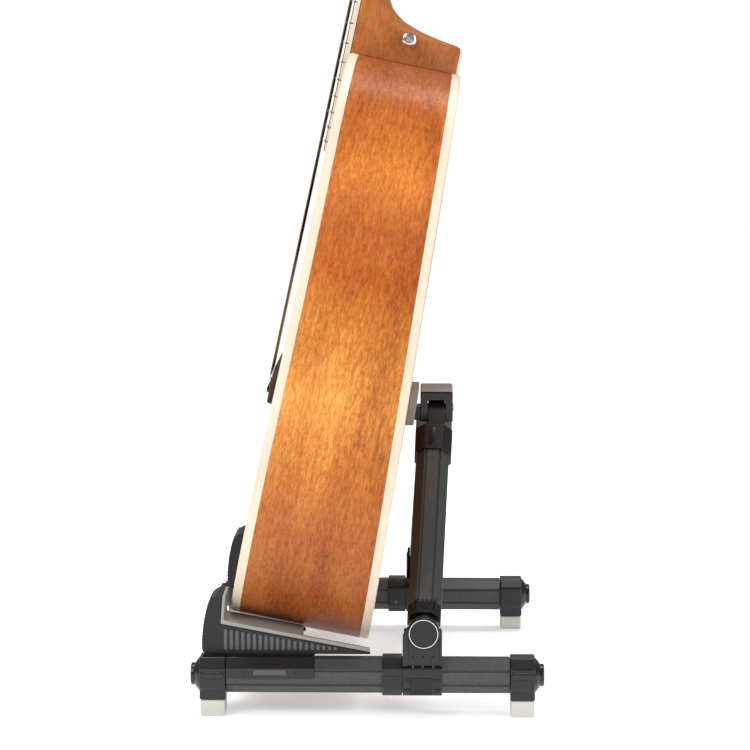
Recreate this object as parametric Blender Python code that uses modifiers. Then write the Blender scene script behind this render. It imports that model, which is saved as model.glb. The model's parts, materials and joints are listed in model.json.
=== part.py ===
"""An acoustic guitar resting on a folding A-frame floor stand.

Frame: metres, +Z up, +X from the guitar's soundboard towards its back, Y across.
The origin is on the floor at the centre of the whole object's bounding box.
The guitar is modelled upright in its own frame (X depth from the soundboard plane,
Y across, Z along the strings from the tail) and leaned back by its parent empty.
"""
import math

import bmesh
import bpy
from mathutils import Matrix, Vector

OBJECT_NAME = "guitar_on_stand"
GAP = 0.0003                 # air between touching pieces
FRAME_X = 0.0497             # moves the whole object so that the origin is at its centre

# ---- guitar: driving dimensions, in the guitar's own frame
LEAN = math.radians(12.0)
TAIL = (-0.1689 + FRAME_X, 0.0, 0.0578)   # soundboard's tail edge in the world
BODY_LENGTH = 0.490
DEPTH_TAIL = 0.118
DEPTH_NECK = 0.095
TAIL_RADIUS = 0.40
PLATE = 0.003                # soundboard and back thickness
RIM = 0.0025                 # side wall and binding thickness
BINDING_DEPTH = 0.0075
ARCH = 0.0020                # how far the back bulges at its middle
ARCH_CENTRE = 0.250          # height of the arched back's middle
ARCH_RINGS = (1.0, 0.86, 0.68, 0.46, 0.20)
TAIL_LIFT = 0.021            # rise of the tail edge per metre of depth, fading upwards
TAIL_FADE = 0.120
SCALE_LENGTH = 0.650
SADDLE_Z = 0.2075
NUT_Z = SADDLE_Z + SCALE_LENGTH
HOLE_Z = 0.352
HOLE_RADIUS = 0.050
BOARD_END_Z = 0.4045         # last end of the fingerboard, over the soundboard
BOARD_THICK = 0.0062
NECK_HALF_NUT = 0.0215
NECK_HALF_BODY = 0.0275
NECK_THICK = 0.0150          # wood below the fingerboard at the nut
HEAD_TILT = math.radians(13.0)
HEAD_LENGTH = 0.168
HEAD_THICK = 0.0145
SADDLE_TOP = 0.0098          # top of the saddle above the soundboard plane
POST_RADIUS = 0.0030         # string posts of the tuners
CASE_DEPTH = 0.0090          # gear cases, out of the headstock's back
TUNER_Z = (NUT_Z + 0.046, NUT_Z + 0.086, NUT_Z + 0.126)
TUNER_Y = (0.0205, 0.0225, 0.0245)

# body half outline: (along the body, half width) from the tail curve to the neck
OUTLINE = ((0.0356, 0.152), (0.0750, 0.184), (0.1250, 0.1975), (0.1750, 0.1930),
           (0.2250, 0.1740), (0.2700, 0.1530), (0.3150, 0.1405), (0.3600, 0.1400),
           (0.4000, 0.1455), (0.4310, 0.1450), (0.4570, 0.1350), (0.4760, 0.1130),
           (0.4860, 0.0820), (0.4900, 0.0450))
TAIL_STEPS = (0.0, 0.045, 0.085, 0.120)    # half widths where the tail arc is sampled
OUTLINE_SUB = 2

# ---- stand: driving dimensions, in the world
LEG_Y = 0.165
LEG_Z = 0.033
TUBE = 0.0275                # leg and upright profile, across its flats
TUBE_WALL = 0.0020
COLLAR = 0.0315              # caps and collars, across their flats
CAP_FRONT = (-0.1866 + FRAME_X, -0.1651 + FRAME_X)
CAP_REAR = (0.0666 + FRAME_X, 0.0868 + FRAME_X)
PLUG_LENGTH = 0.0077
FOOT_HALF_Y = 0.0120
FOOT_PAD = 0.0137
KNUCKLE = (-0.0040 + FRAME_X, 0.161, 0.0712)   # leg pivot, right side
KNOB_RADIUS = 0.0134
HEAD_PIVOT = (0.0055 + FRAME_X, 0.010, 0.2300)  # upright pivot, right side
HEAD_BOX = ((-0.0075 + FRAME_X, -0.019, 0.2210), (0.0205 + FRAME_X, 0.019, 0.2464))
HEAD_SLOT = (-0.0010 + FRAME_X, 0.0140 + FRAME_X, 0.2395)
TOP_PAD = 0.0036             # thickness of the pad on the head
ARM_Y = (0.1215, 0.163)
ARM_BOTTOM = 0.0492
ARM_TILT = math.radians(10.7)
RAMP = (-0.1646 + FRAME_X, 0.0729)  # a point of the arm pad's underside
ARM_PAD_THICK = 0.003
ARM_TIP = -0.0475 + FRAME_X
LIP_FOOT = -0.1701 + FRAME_X         # outer face of the lip's pad, at its foot
LIP_TOP = (-0.1684 + FRAME_X, 0.0968)
LIP_PAD = 0.0022
PLATFORM_END = -0.1040 + FRAME_X     # beyond it only the outer flange goes on
FLANGE = 0.005
CARRIER = (-0.1648 + FRAME_X, -0.0930 + FRAME_X)
CARRIER_LOW = -0.0004                # lower edge of its flanks, from the leg's axis
SWITCH = (-0.1423 + FRAME_X, -0.1156 + FRAME_X)
SWITCH_Z = (0.0355, 0.0398)
SWITCH_TRAVEL = 0.003        # each way from the middle
COLLAR_SPAN = (-0.0376 + FRAME_X, -0.0216 + FRAME_X)
BRACKET_SPAN = (-0.0210 + FRAME_X, 0.0110 + FRAME_X)
PIN_RADIUS = 0.0035
LUG_BASE = 0.0105            # underside of the pivot lug above the leg's axis
EYE_WIDTH = 0.020
EYE_RADIUS = 0.0125
SOCKET = (0.0060, 0.0165)   # ankle along the upright, from the leg pivot
UPRIGHT = (0.0168, 0.1895)
SLEEVE = (0.1686, 0.1934)
TONGUE_HALF = 0.0085
BACK_PAD = 0.0072            # thickness of the pad behind the guitar's back
BACK_PAD_Z = (0.2192, 0.2500)
FOOT_CUT = (0.0080, 0.0055)  # chamfer under the foot's inner side: width, height
CORNER_FLAT = 0.52           # half length of the octagon's long flats over its half width
SIDES = (("left", -1.0), ("right", 1.0))

PALETTE = {
    "spruce": ((0.78, 0.56, 0.30), 0.45, 0.0), "mahogany": ((0.42, 0.15, 0.05), 0.40, 0.0),
    "cream": ((0.86, 0.78, 0.60), 0.35, 0.0), "rosewood": ((0.10, 0.05, 0.03), 0.50, 0.0),
    "bone": ((0.88, 0.85, 0.76), 0.35, 0.0),
    "chrome": ((0.80, 0.80, 0.80), 0.15, 1.0),
    "anodised": ((0.06, 0.06, 0.06), 0.45, 0.6), "black_plastic": ((0.02, 0.02, 0.02), 0.45, 0.0),
    "grey_rubber": ((0.45, 0.44, 0.41), 0.80, 0.0)}


def clear_scene():
    for old in list(bpy.data.objects):
        bpy.data.objects.remove(old, do_unlink=True)


def make_collection(name):
    group = bpy.data.collections.new(name)
    bpy.context.scene.collection.children.link(group)
    return group


def material(piece, kind):
    """A Principled material of its own for one piece."""
    colour, rough, metal = PALETTE[kind]
    made = bpy.data.materials.new(piece + "_" + kind)
    made.use_nodes = True
    shader = made.node_tree.nodes["Principled BSDF"]
    shader.inputs["Base Color"].default_value = (*colour, 1.0)
    shader.inputs["Roughness"].default_value = rough
    shader.inputs["Metallic"].default_value = metal
    return made


def add(name, bm, kind, parent=None):
    """Turns a bmesh into a named piece; its coordinates are those of its parent."""
    bmesh.ops.recalc_face_normals(bm, faces=bm.faces[:])
    mesh = bpy.data.meshes.new(name)
    bm.to_mesh(mesh)
    bm.free()
    mesh.shade_smooth()
    mesh.set_sharp_from_angle(angle=math.radians(35))
    piece = bpy.data.objects.new(name, mesh)
    piece.data.materials.append(material(name, kind))
    PARTS.objects.link(piece)
    if parent is not None:
        piece.parent = parent
    return piece


def empty(name, place, turn=(0.0, 0.0, 0.0), parent=None):
    marker = bpy.data.objects.new(name, None)
    marker.location = place
    marker.rotation_euler = turn
    marker.empty_display_size = 0.02
    PARTS.objects.link(marker)
    if parent is not None:
        marker.parent = parent
    return marker


def prism(outline, start, travel):
    """Closed solid: a flat outline of 3-D points moved to start, then extruded."""
    bm = bmesh.new()
    ring = [bm.verts.new(Vector(point) + Vector(start)) for point in outline]
    face = bm.faces.new(ring)
    swept = bmesh.ops.extrude_face_region(bm, geom=[face])
    moved = [item for item in swept["geom"] if isinstance(item, bmesh.types.BMVert)]
    bmesh.ops.translate(bm, verts=moved, vec=travel)
    return bm


def box(low, high):
    bm = bmesh.new()
    bmesh.ops.create_cube(bm, size=1.0)
    for vert in bm.verts:
        vert.co = [low[i] + (vert.co[i] + 0.5) * (high[i] - low[i]) for i in range(3)]
    return bm


def soften(bm, width, segments=1):
    """Rounds every sharp edge of a solid."""
    edges = [edge for edge in bm.edges if edge.calc_face_angle(0.0) > math.radians(40)]
    bmesh.ops.bevel(bm, geom=edges, offset=width, segments=segments, profile=0.5,
                    affect="EDGES", clamp_overlap=True)
    return bm


def cylinder(start, axis, radius, length, sides=16, radius_end=None):
    """Closed cylinder or cone from start along axis."""
    bm = bmesh.new()
    end = radius if radius_end is None else radius_end
    turn = Vector((0, 0, 1)).rotation_difference(Vector(axis)).to_matrix().to_4x4()
    middle = Vector(start) + Vector(axis).normalized() * (length / 2)
    bmesh.ops.create_cone(bm, cap_ends=True, segments=sides, radius1=radius,
                          radius2=end, depth=length,
                          matrix=Matrix.Translation(middle) @ turn)
    return bm


def turned(name, profile, start, axis, kind, parent=None, steps=20):
    """A solid of revolution: profile is (radius, height), top to bottom."""
    mesh = bpy.data.meshes.new(name)
    points = [(radius, 0.0, height) for radius, height in profile]
    mesh.from_pydata(points, [(i, i + 1) for i in range(len(points) - 1)], [])
    piece = bpy.data.objects.new(name, mesh)
    PARTS.objects.link(piece)
    piece.location = start
    piece.rotation_mode = "QUATERNION"
    piece.rotation_quaternion = Vector((0, 0, 1)).rotation_difference(Vector(axis))
    screw = piece.modifiers.new("turn", "SCREW")
    screw.steps = steps
    screw.render_steps = steps
    screw.use_merge_vertices = True
    screw.merge_threshold = 0.00005
    screw.use_smooth_shade = True
    piece.data.materials.append(material(name, kind))
    if parent is not None:
        piece.parent = parent
    return piece


def band(loop_a, loop_b):
    """Open wall between two equal closed loops of points."""
    bm = bmesh.new()
    count = len(loop_a)
    low = [bm.verts.new(point) for point in loop_a]
    high = [bm.verts.new(point) for point in loop_b]
    for i in range(count):
        bm.faces.new((low[i], low[(i + 1) % count], high[(i + 1) % count], high[i]))
    return bm


def shell(name, loop_a, loop_b, wall, kind, parent=None):
    """A band thickened inwards with Solidify."""
    piece = add(name, band(loop_a, loop_b), kind, parent)
    solid = piece.modifiers.new("wall", "SOLIDIFY")
    solid.thickness = wall
    solid.offset = -1.0
    solid.use_even_offset = True
    return piece


def loft(sections):
    """Closed solid through equal rings of points, capped at both ends."""
    bm = bmesh.new()
    rings = [[bm.verts.new(point) for point in section] for section in sections]
    count = len(rings[0])
    for lower, upper in zip(rings, rings[1:]):
        for i in range(count):
            j = (i + 1) % count
            bm.faces.new((lower[i], lower[j], upper[j], upper[i]))
    bm.faces.new(rings[0])
    bm.faces.new(rings[-1])
    return bm


def boolean(piece, cutter, operation="DIFFERENCE"):
    """Cuts or joins with a hidden cutter, which is kept in the cutters' collection."""
    cutter.hide_render = True
    cutter.display_type = "WIRE"
    for group in list(cutter.users_collection):
        group.objects.unlink(cutter)
    CUTTERS.objects.link(cutter)
    cut = piece.modifiers.new(operation.lower(), "BOOLEAN")
    cut.operation = operation
    cut.object = cutter
    cut.solver = "EXACT"


def polar_octagon(across):
    """Octagon with short corner flats: points (a, b) around the centre."""
    half = across / 2
    short = half * CORNER_FLAT
    return [(half, -short), (half, short), (short, half), (-short, half),
            (-half, short), (-half, -short), (-short, -half), (short, -half)]


# ---- guitar -------------------------------------------------------------------
def back_depth(z):
    """Distance from the soundboard plane to the back at a height along the body."""
    return DEPTH_TAIL - (DEPTH_TAIL - DEPTH_NECK) * z / BODY_LENGTH


def lifted(depth, y, z):
    """Point of the body's wall: the tail edge rises a little towards the back."""
    return (depth, y, z + TAIL_LIFT * depth * max(0.0, 1.0 - z / TAIL_FADE))


def half_outline():
    """Smooth right half of the body outline, from the tail centre to the neck."""
    tail = [(TAIL_RADIUS - math.sqrt(TAIL_RADIUS ** 2 - y * y), y) for y in TAIL_STEPS]
    keys = tail + list(OUTLINE)
    smooth = []
    for i in range(len(keys) - 1):
        before = keys[max(i - 1, 0)]
        after = keys[min(i + 2, len(keys) - 1)]
        for step in range(OUTLINE_SUB):
            t = step / OUTLINE_SUB
            point = []
            for a, b, c, d in zip(before, keys[i], keys[i + 1], after):
                point.append(0.5 * (2 * b + (c - a) * t + (2 * a - 5 * b + 4 * c - d) * t * t
                                    + (3 * b - a - 3 * c + d) * t ** 3))
            smooth.append(tuple(point))
    return smooth + [keys[-1]]


def body_loop(inset):
    """Closed body outline as (y, z) points, moved inwards by inset."""
    right = half_outline()
    loop = [(y, z) for z, y in right] + [(-y, z) for z, y in reversed(right[1:])]
    if not inset:
        return loop
    count = len(loop)
    moved = []
    for i, (y, z) in enumerate(loop):
        before, after = loop[i - 1], loop[(i + 1) % count]
        along = Vector((after[0] - before[0], after[1] - before[1])).normalized()
        moved.append((y - along.y * inset, z + along.x * inset))
    return moved


def guitar_ring(name, depth_a, depth_b, kind, parent):
    """A rim around the body between two depths, each a function of height."""
    loop = body_loop(0.0)
    shell(name, [lifted(depth_a(z), y, z) for y, z in loop],
          [lifted(depth_b(z), y, z) for y, z in loop], RIM, kind, parent)


def build_body(parent):
    guitar_ring("binding_front", lambda z: 0.0, lambda z: BINDING_DEPTH, "cream", parent)
    guitar_ring("sides", lambda z: BINDING_DEPTH + GAP,
                lambda z: back_depth(z) - BINDING_DEPTH - GAP, "mahogany", parent)
    guitar_ring("binding_back", lambda z: back_depth(z) - BINDING_DEPTH,
                back_depth, "cream", parent)
    inner = body_loop(RIM + GAP)
    board = prism([(0.0, y, z) for y, z in inner], (0, 0, 0), (PLATE, 0, 0))
    soundboard = add("soundboard", board, "spruce", parent)
    hole = add("soundhole_cutter", cylinder((-0.01, 0, HOLE_Z), (1, 0, 0), HOLE_RADIUS,
                                            0.03, 32), "spruce", parent)
    boolean(soundboard, hole)
    add("back", arched_plate(inner), "mahogany", parent)


def arched_plate(loop):
    """Back plate that bulges towards its middle, the same thickness all over."""
    rings = []
    for depth in (0.0, -PLATE):
        for share in ARCH_RINGS:
            bulge = depth + ARCH * (1.0 - share * share)
            ring = []
            for y, z in loop:
                x, y, z = lifted(back_depth(z), y, z)
                z = ARCH_CENTRE + (z - ARCH_CENTRE) * share
                x = back_depth(ARCH_CENTRE) + (x - back_depth(ARCH_CENTRE)) * share
                ring.append((x + bulge, y * share, z))
            rings.append(ring)
    half = len(ARCH_RINGS)
    return loft(rings[half - 1::-1] + rings[half:])


def neck_section(z, half, thick, taper):
    """D-shaped slice of the neck: flat under the fingerboard, round behind."""
    points = [(0.0, -half, z), (0.0, half, z)]
    for i in range(7):
        angle = math.pi * i / 6
        points.append((thick * (0.42 + 0.58 * math.sin(angle)),
                       half * math.cos(angle) * taper, z))
    return points


def build_neck(parent):
    """Heel, shaft and tilted headstock in one piece of wood."""
    start = BODY_LENGTH + GAP
    heel = ((start, 0.0275, 0.0925, 0.80), (0.5130, 0.0275, 0.0905, 0.80),
            (0.5155, 0.0274, 0.0740, 0.84), (0.5190, 0.0272, 0.0560, 0.90),
            (0.5250, 0.0270, 0.0385, 0.95), (0.5340, 0.0268, 0.0270, 1.0),
            (0.5480, 0.0265, 0.0200, 1.0), (0.6000, 0.0255, 0.0180, 1.0),
            (0.7200, 0.0237, 0.0165, 1.0), (NUT_Z - 0.030, 0.0218, NECK_THICK, 1.0))
    sections = [neck_section(*slice_) for slice_ in heel]
    neck = add("neck", loft(sections), "mahogany", parent)
    tilt = math.tan(HEAD_TILT)
    top = NUT_Z + HEAD_LENGTH
    low = NUT_Z - 0.040
    run = HEAD_LENGTH - 0.003
    side = [(0.0, 0, low), (0.0, 0, NUT_Z + 0.003), (tilt * run, 0, top),
            (tilt * run + HEAD_THICK, 0, top),
            (tilt * 0.017 + HEAD_THICK, 0, NUT_Z + 0.020), (NECK_THICK - 0.001, 0, low)]
    slab = prism(side, (0, -0.050, 0), (0, 0.100, 0))
    face = [(-0.0216, NUT_Z - 0.040), (0.0216, NUT_Z - 0.040), (0.0212, NUT_Z + 0.004),
            (0.0300, NUT_Z + 0.028), (0.0375, top - 0.012), (0.0180, top - 0.002),
            (0.0, top - 0.006), (-0.0180, top - 0.002), (-0.0375, top - 0.012),
            (-0.0300, NUT_Z + 0.028), (-0.0212, NUT_Z + 0.004)]
    trim = prism([(-0.02, y, z) for y, z in face], (0, 0, 0), (0.12, 0, 0))
    head = add("headstock_cutter", slab, "mahogany", parent)
    outline = add("headstock_outline_cutter", trim, "mahogany", parent)
    boolean(head, outline, "INTERSECT")
    boolean(neck, head, "UNION")
    for name, y, z in tuner_places():
        drill = cylinder(head_point(y, z, -0.020), head_normal(), POST_RADIUS + GAP, 0.050,
                         12)
        boolean(neck, add(name + "_cutter", drill, "mahogany", parent))


def build_fingerboard(parent):
    top = NUT_Z - 0.0025 - GAP
    half_end = NECK_HALF_BODY + 0.0015
    board = [(-GAP, -half_end, BOARD_END_Z), (-GAP, half_end, BOARD_END_Z),
             (-GAP, NECK_HALF_NUT, top), (-GAP, -NECK_HALF_NUT, top)]
    add("fingerboard", prism(board, (0, 0, 0), (-BOARD_THICK, 0, 0)), "rosewood", parent)
    nut = box((-BOARD_THICK - 0.0015, -NECK_HALF_NUT, NUT_Z - 0.0025),
              (-GAP, NECK_HALF_NUT, NUT_Z + 0.0020))
    add("nut", nut, "bone", parent)


def build_bridge(parent):
    base = SADDLE_Z - 0.022
    outline = [(-0.078, base + 0.004), (-0.040, base), (0.040, base), (0.078, base + 0.004),
               (0.078, base + 0.026), (0.045, base + 0.033), (-0.045, base + 0.033),
               (-0.078, base + 0.026)]
    block = prism([(-GAP, y, z) for y, z in outline], (0, 0, 0), (-0.0075, 0, 0))
    bridge = add("bridge", block, "rosewood", parent)
    slot = box((-0.012, -0.0375, SADDLE_Z - 0.0018), (-0.0035, 0.0375, SADDLE_Z + 0.0018))
    boolean(bridge, add("saddle_slot_cutter", slot, "bone", parent))
    saddle = box((-SADDLE_TOP, -0.0368, SADDLE_Z - 0.0013),
                 (-0.0038, 0.0368, SADDLE_Z + 0.0013))
    add("saddle", saddle, "bone", parent)


def head_normal():
    """Direction out of the back of the headstock."""
    return Vector((math.cos(HEAD_TILT), 0.0, -math.sin(HEAD_TILT)))


def tuner_places():
    """Name, y and z of each post: bass side first, from the nut to the tip."""
    places = []
    for side, sign in (("bass", -1.0), ("treble", 1.0)):
        for i, (y, z) in enumerate(zip(TUNER_Y, TUNER_Z)):
            places.append((f"tuner_{side}_{i + 1}", sign * y, z))
    return places


def head_point(y, z, depth):
    """Point on the tilted headstock: depth is measured behind its front face."""
    front = Vector((math.tan(HEAD_TILT) * (z - NUT_Z - 0.003), y, z))
    return front + head_normal() * depth


def case_box(half_x, half_y, half_z, middle):
    """Box square to the tilted headstock."""
    case = box((-half_x, -half_y, -half_z), (half_x, half_y, half_z))
    soften(case, 0.0004)
    turn = Matrix.Translation(middle) @ Matrix.Rotation(HEAD_TILT, 4, "Y")
    bmesh.ops.transform(case, matrix=turn, verts=case.verts)
    return case


def build_tuners(parent):
    """Geared machine heads: posts through the wood, a housing per side, buttons."""
    normal = head_normal()
    behind = HEAD_THICK * math.cos(HEAD_TILT) + GAP
    plates = {}
    for name, y, z in tuner_places():
        out = Vector((0.0, math.copysign(1.0, y), 0.0))
        middle = head_point(y, z, behind + CASE_DEPTH / 2 + 0.0004)
        bank = name.rsplit("_", 1)[0]
        case = case_box(CASE_DEPTH / 2, 0.0065, 0.0080, middle)
        if bank not in plates:
            centre_y = math.copysign(TUNER_Y[1], y)
            centre = head_point(centre_y, TUNER_Z[1], behind + 0.0008)
            plate = case_box(0.0008, 0.0078, 0.0530, centre)
            plates[bank] = add(bank + "_housing", plate, "chrome", parent)
        boolean(plates[bank], add(name + "_case_cutter", case, "chrome", parent), "UNION")
        start = head_point(y, z, behind - 0.0004)
        drill = cylinder(start, normal, POST_RADIUS + GAP, 0.0047, 12)
        boolean(plates[bank], add(name + "_seat_cutter", drill, "chrome", parent))
        post = [(0.0, 0.0265), (0.0024, 0.0265), (POST_RADIUS, 0.0255),
                (POST_RADIUS, 0.0235), (0.0022, 0.0225), (0.0022, 0.0200),
                (POST_RADIUS, 0.0190), (POST_RADIUS, 0.0), (0.0, 0.0)]
        turned(name + "_post", post, head_point(y, z, behind + 0.0030), -normal, "chrome",
               parent, 12)
        shaft = middle + out * (0.0065 + GAP)
        knob = [(0.0, 0.0235), (0.0062, 0.0229), (0.0085, 0.0195), (0.0085, 0.0115),
                (0.0062, 0.0077), (0.0030, 0.0070), (0.0022, 0.0065), (0.0022, 0.0),
                (0.0, 0.0)]
        turned(name + "_button", knob, shaft, out, "chrome", parent, 14)


def build_hardware(parent):
    """Strap button on the heel's side."""
    button = [(0.0, 0.0120), (0.0045, 0.0120), (0.0062, 0.0105), (0.0062, 0.0090),
              (0.0035, 0.0065), (0.0030, 0.0020), (0.0050, 0.0008), (0.0050, 0.0),
              (0.0, 0.0)]
    turned("strap_button", button, (0.0462, -0.0262, 0.5108), (0, -1, 0), "chrome",
           parent, 16)


def build_guitar():
    frame = empty("guitar_frame", TAIL, (0.0, LEAN, 0.0))
    build_body(frame)
    build_neck(frame)
    build_fingerboard(frame)
    build_bridge(frame)
    build_tuners(frame)
    build_hardware(frame)


# ---- stand --------------------------------------------------------------------
def leg_ring(across, x, y):
    """Octagon around the leg's axis at x."""
    return [(x, y + a, LEG_Z + b) for a, b in polar_octagon(across)]


def leaned(w, u):
    """World x and z of a point given in the guitar's frame (depth, height)."""
    return (TAIL[0] + w * math.cos(LEAN) + u * math.sin(LEAN),
            TAIL[2] - w * math.sin(LEAN) + u * math.cos(LEAN))


def build_cap(name, span, outward, side, parent):
    """End cap with its foot and coned end, and the rubber foot pad."""
    y = side * LEG_Y
    half = COLLAR / 2
    short = half * CORNER_FLAT
    outline = [(half, -short), (half, short), (short, half), (-short, half),
               (-half, short), (-half, -short), (-FOOT_HALF_Y, -half * 0.8),
               (-FOOT_HALF_Y, FOOT_PAD + GAP - LEG_Z), (FOOT_HALF_Y, FOOT_PAD + GAP - LEG_Z),
               (FOOT_HALF_Y, -half * 0.8)]
    ring = [(0.0, a, b) for a, b in outline]
    length = span[1] - span[0]
    block = soften(prism(ring, (span[0], y, LEG_Z), (length, 0, 0)), 0.0008)
    cap = add(name + "_cap", block, "black_plastic", parent)
    inset = 0.0006
    reach = FOOT_HALF_Y - inset
    sole = [(-reach, FOOT_CUT[1]), (-reach + FOOT_CUT[0], 0.0), (reach, 0.0),
            (reach, FOOT_PAD), (-reach, FOOT_PAD)]
    pad = prism([(0.0, side * a, b) for a, b in sole], (span[0] + inset, y, 0.0),
                (length - 2 * inset, 0, 0))
    add(name + "_foot", soften(pad, 0.0016, 2), "grey_rubber", parent)
    profile = [(0.0, PLUG_LENGTH), (0.0078, PLUG_LENGTH), (0.0092, PLUG_LENGTH - 0.0012),
               (0.0092, 0.0042), (0.0104, 0.0034), (0.0146, 0.0), (0.0146, -0.0020),
               (0.0, -0.0020)]
    start = (span[1] if outward > 0 else span[0], y, LEG_Z)
    plug = turned(name + "_plug_cutter", profile, start, (outward, 0, 0), "black_plastic",
                  parent, 20)
    boolean(cap, plug, "UNION")


def build_leg(word, side, parent):
    """Hollow leg tube with its caps, collar and the bracket that carries the pivot."""
    y = side * LEG_Y
    start, end = CAP_FRONT[1] + GAP, CAP_REAR[0] - GAP
    shell(word + "_leg_tube", leg_ring(TUBE, start, y), leg_ring(TUBE, end, y), TUBE_WALL,
          "anodised", parent)
    build_cap(word + "_front", CAP_FRONT, -1, side, parent)
    build_cap(word + "_rear", CAP_REAR, 1, side, parent)
    wall = (COLLAR - TUBE) / 2 - GAP
    shell(word + "_leg_collar", leg_ring(COLLAR, COLLAR_SPAN[0], y),
          leg_ring(COLLAR, COLLAR_SPAN[1], y), wall, "black_plastic", parent)
    bracket = shell(word + "_bracket", leg_ring(COLLAR, BRACKET_SPAN[0], y),
                    leg_ring(COLLAR, BRACKET_SPAN[1], y), wall, "black_plastic", parent)
    lug_y = sorted((y + side * (COLLAR / 2 - 0.0045), y + side * (COLLAR / 2 + 0.0008)))
    lug = box((BRACKET_SPAN[0], lug_y[0], LEG_Z + LUG_BASE),
              (BRACKET_SPAN[1], lug_y[1], KNUCKLE[2] + 0.0060))
    boolean(bracket, add(word + "_lug_cutter", soften(lug, 0.0008), "black_plastic", parent),
            "UNION")
    drill = cylinder((KNUCKLE[0], lug_y[0] - 0.01, KNUCKLE[2]), (0, 1, 0), PIN_RADIUS + GAP,
                     0.03, 16)
    boolean(bracket, add(word + "_pin_hole_cutter", drill, "black_plastic", parent))
    face = lug_y[1] if side > 0 else lug_y[0]
    inner = lug_y[0] if side > 0 else lug_y[1]
    reach = abs(face - inner) + EYE_WIDTH * 0.8
    knob = [(0.0, 0.0048), (KNOB_RADIUS - 0.0016, 0.0048), (KNOB_RADIUS, 0.0034),
            (KNOB_RADIUS, 0.0), (PIN_RADIUS, 0.0), (PIN_RADIUS, -reach), (0.0, -reach)]
    turned(word + "_knob", knob, (KNUCKLE[0], face + side * GAP, KNUCKLE[2]), (0, side, 0),
           "black_plastic", parent, 32)
    return inner


def upright_axis(side):
    low = Vector((KNUCKLE[0], side * KNUCKLE[1], KNUCKLE[2]))
    high = Vector((HEAD_PIVOT[0], side * HEAD_PIVOT[1], HEAD_PIVOT[2]))
    return low, (high - low).normalized(), (high - low).length


def upright_ring(across, along, side):
    """Octagon around the upright's axis at a distance from the leg pivot."""
    low, axis, _ = upright_axis(side)
    turn = Vector((0, 0, 1)).rotation_difference(axis).to_matrix()
    return [low + axis * along + turn @ Vector((a, b, 0)) for a, b in polar_octagon(across)]


def build_upright(word, side, inner, parent):
    """Ankle, inclined tube, and a top fitting whose flat tongue pivots in the head."""
    low, axis, length = upright_axis(side)
    ankle = add(word + "_ankle", loft([upright_ring(TUBE, SOCKET[0], side),
                                       upright_ring(TUBE, SOCKET[1], side)]),
                "black_plastic", parent)
    eye = cylinder((KNUCKLE[0], inner - side * GAP, KNUCKLE[2]), (0, -side, 0), EYE_RADIUS,
                   EYE_WIDTH, 24)
    boolean(ankle, add(word + "_eye_cutter", eye, "black_plastic", parent), "UNION")
    drill = cylinder((KNUCKLE[0], inner + side * 0.01, KNUCKLE[2]), (0, -side, 0),
                     PIN_RADIUS + GAP, 0.011 + EYE_WIDTH * 0.85, 16)
    boolean(ankle, add(word + "_eye_hole_cutter", drill, "black_plastic", parent))
    shell(word + "_upright", upright_ring(TUBE, UPRIGHT[0], side),
          upright_ring(TUBE, UPRIGHT[1], side), TUBE_WALL, "anodised", parent)
    fitting = add(word + "_top_fitting",
                  loft([upright_ring(COLLAR, SLEEVE[0], side),
                        upright_ring(COLLAR, SLEEVE[1], side)]), "black_plastic", parent)
    socket = loft([upright_ring(TUBE + 2 * GAP, SLEEVE[0] - 0.01, side),
                   upright_ring(TUBE + 2 * GAP, UPRIGHT[1] + GAP, side)])
    boolean(fitting, add(word + "_socket_cutter", socket, "black_plastic", parent))
    across = Vector((0, axis.z, -axis.y)).normalized()
    along = Vector((0, axis.y, axis.z)).normalized()
    centre = Vector((0, side * HEAD_PIVOT[1], HEAD_PIVOT[2]))
    foot = -(length - SLEEVE[1]) - 0.001
    outline = [centre + along * foot - across * TONGUE_HALF,
               centre + along * foot + across * TONGUE_HALF]
    for i in range(9):
        angle = math.pi * i / 8
        outline.append(centre + across * (TONGUE_HALF * math.cos(angle))
                       + along * (TONGUE_HALF * math.sin(angle)))
    thick = HEAD_SLOT[1] - HEAD_SLOT[0] - 2 * GAP
    tongue = prism(outline, (HEAD_SLOT[0] + GAP, 0, 0), (thick, 0, 0))
    boolean(fitting, add(word + "_tongue_cutter", tongue, "black_plastic", parent), "UNION")
    drill = cylinder((HEAD_SLOT[0] - 0.01, centre.y, centre.z), (1, 0, 0),
                     PIN_RADIUS + GAP, 0.04, 16)
    boolean(fitting, add(word + "_tongue_hole_cutter", drill, "black_plastic", parent))


def ramp(x, lift=0.0):
    """Point of the arm's sloping top at x, lifted square to the slope."""
    return (x, RAMP[1] - (x - RAMP[0]) * math.tan(ARM_TILT) + lift / math.cos(ARM_TILT))


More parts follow.
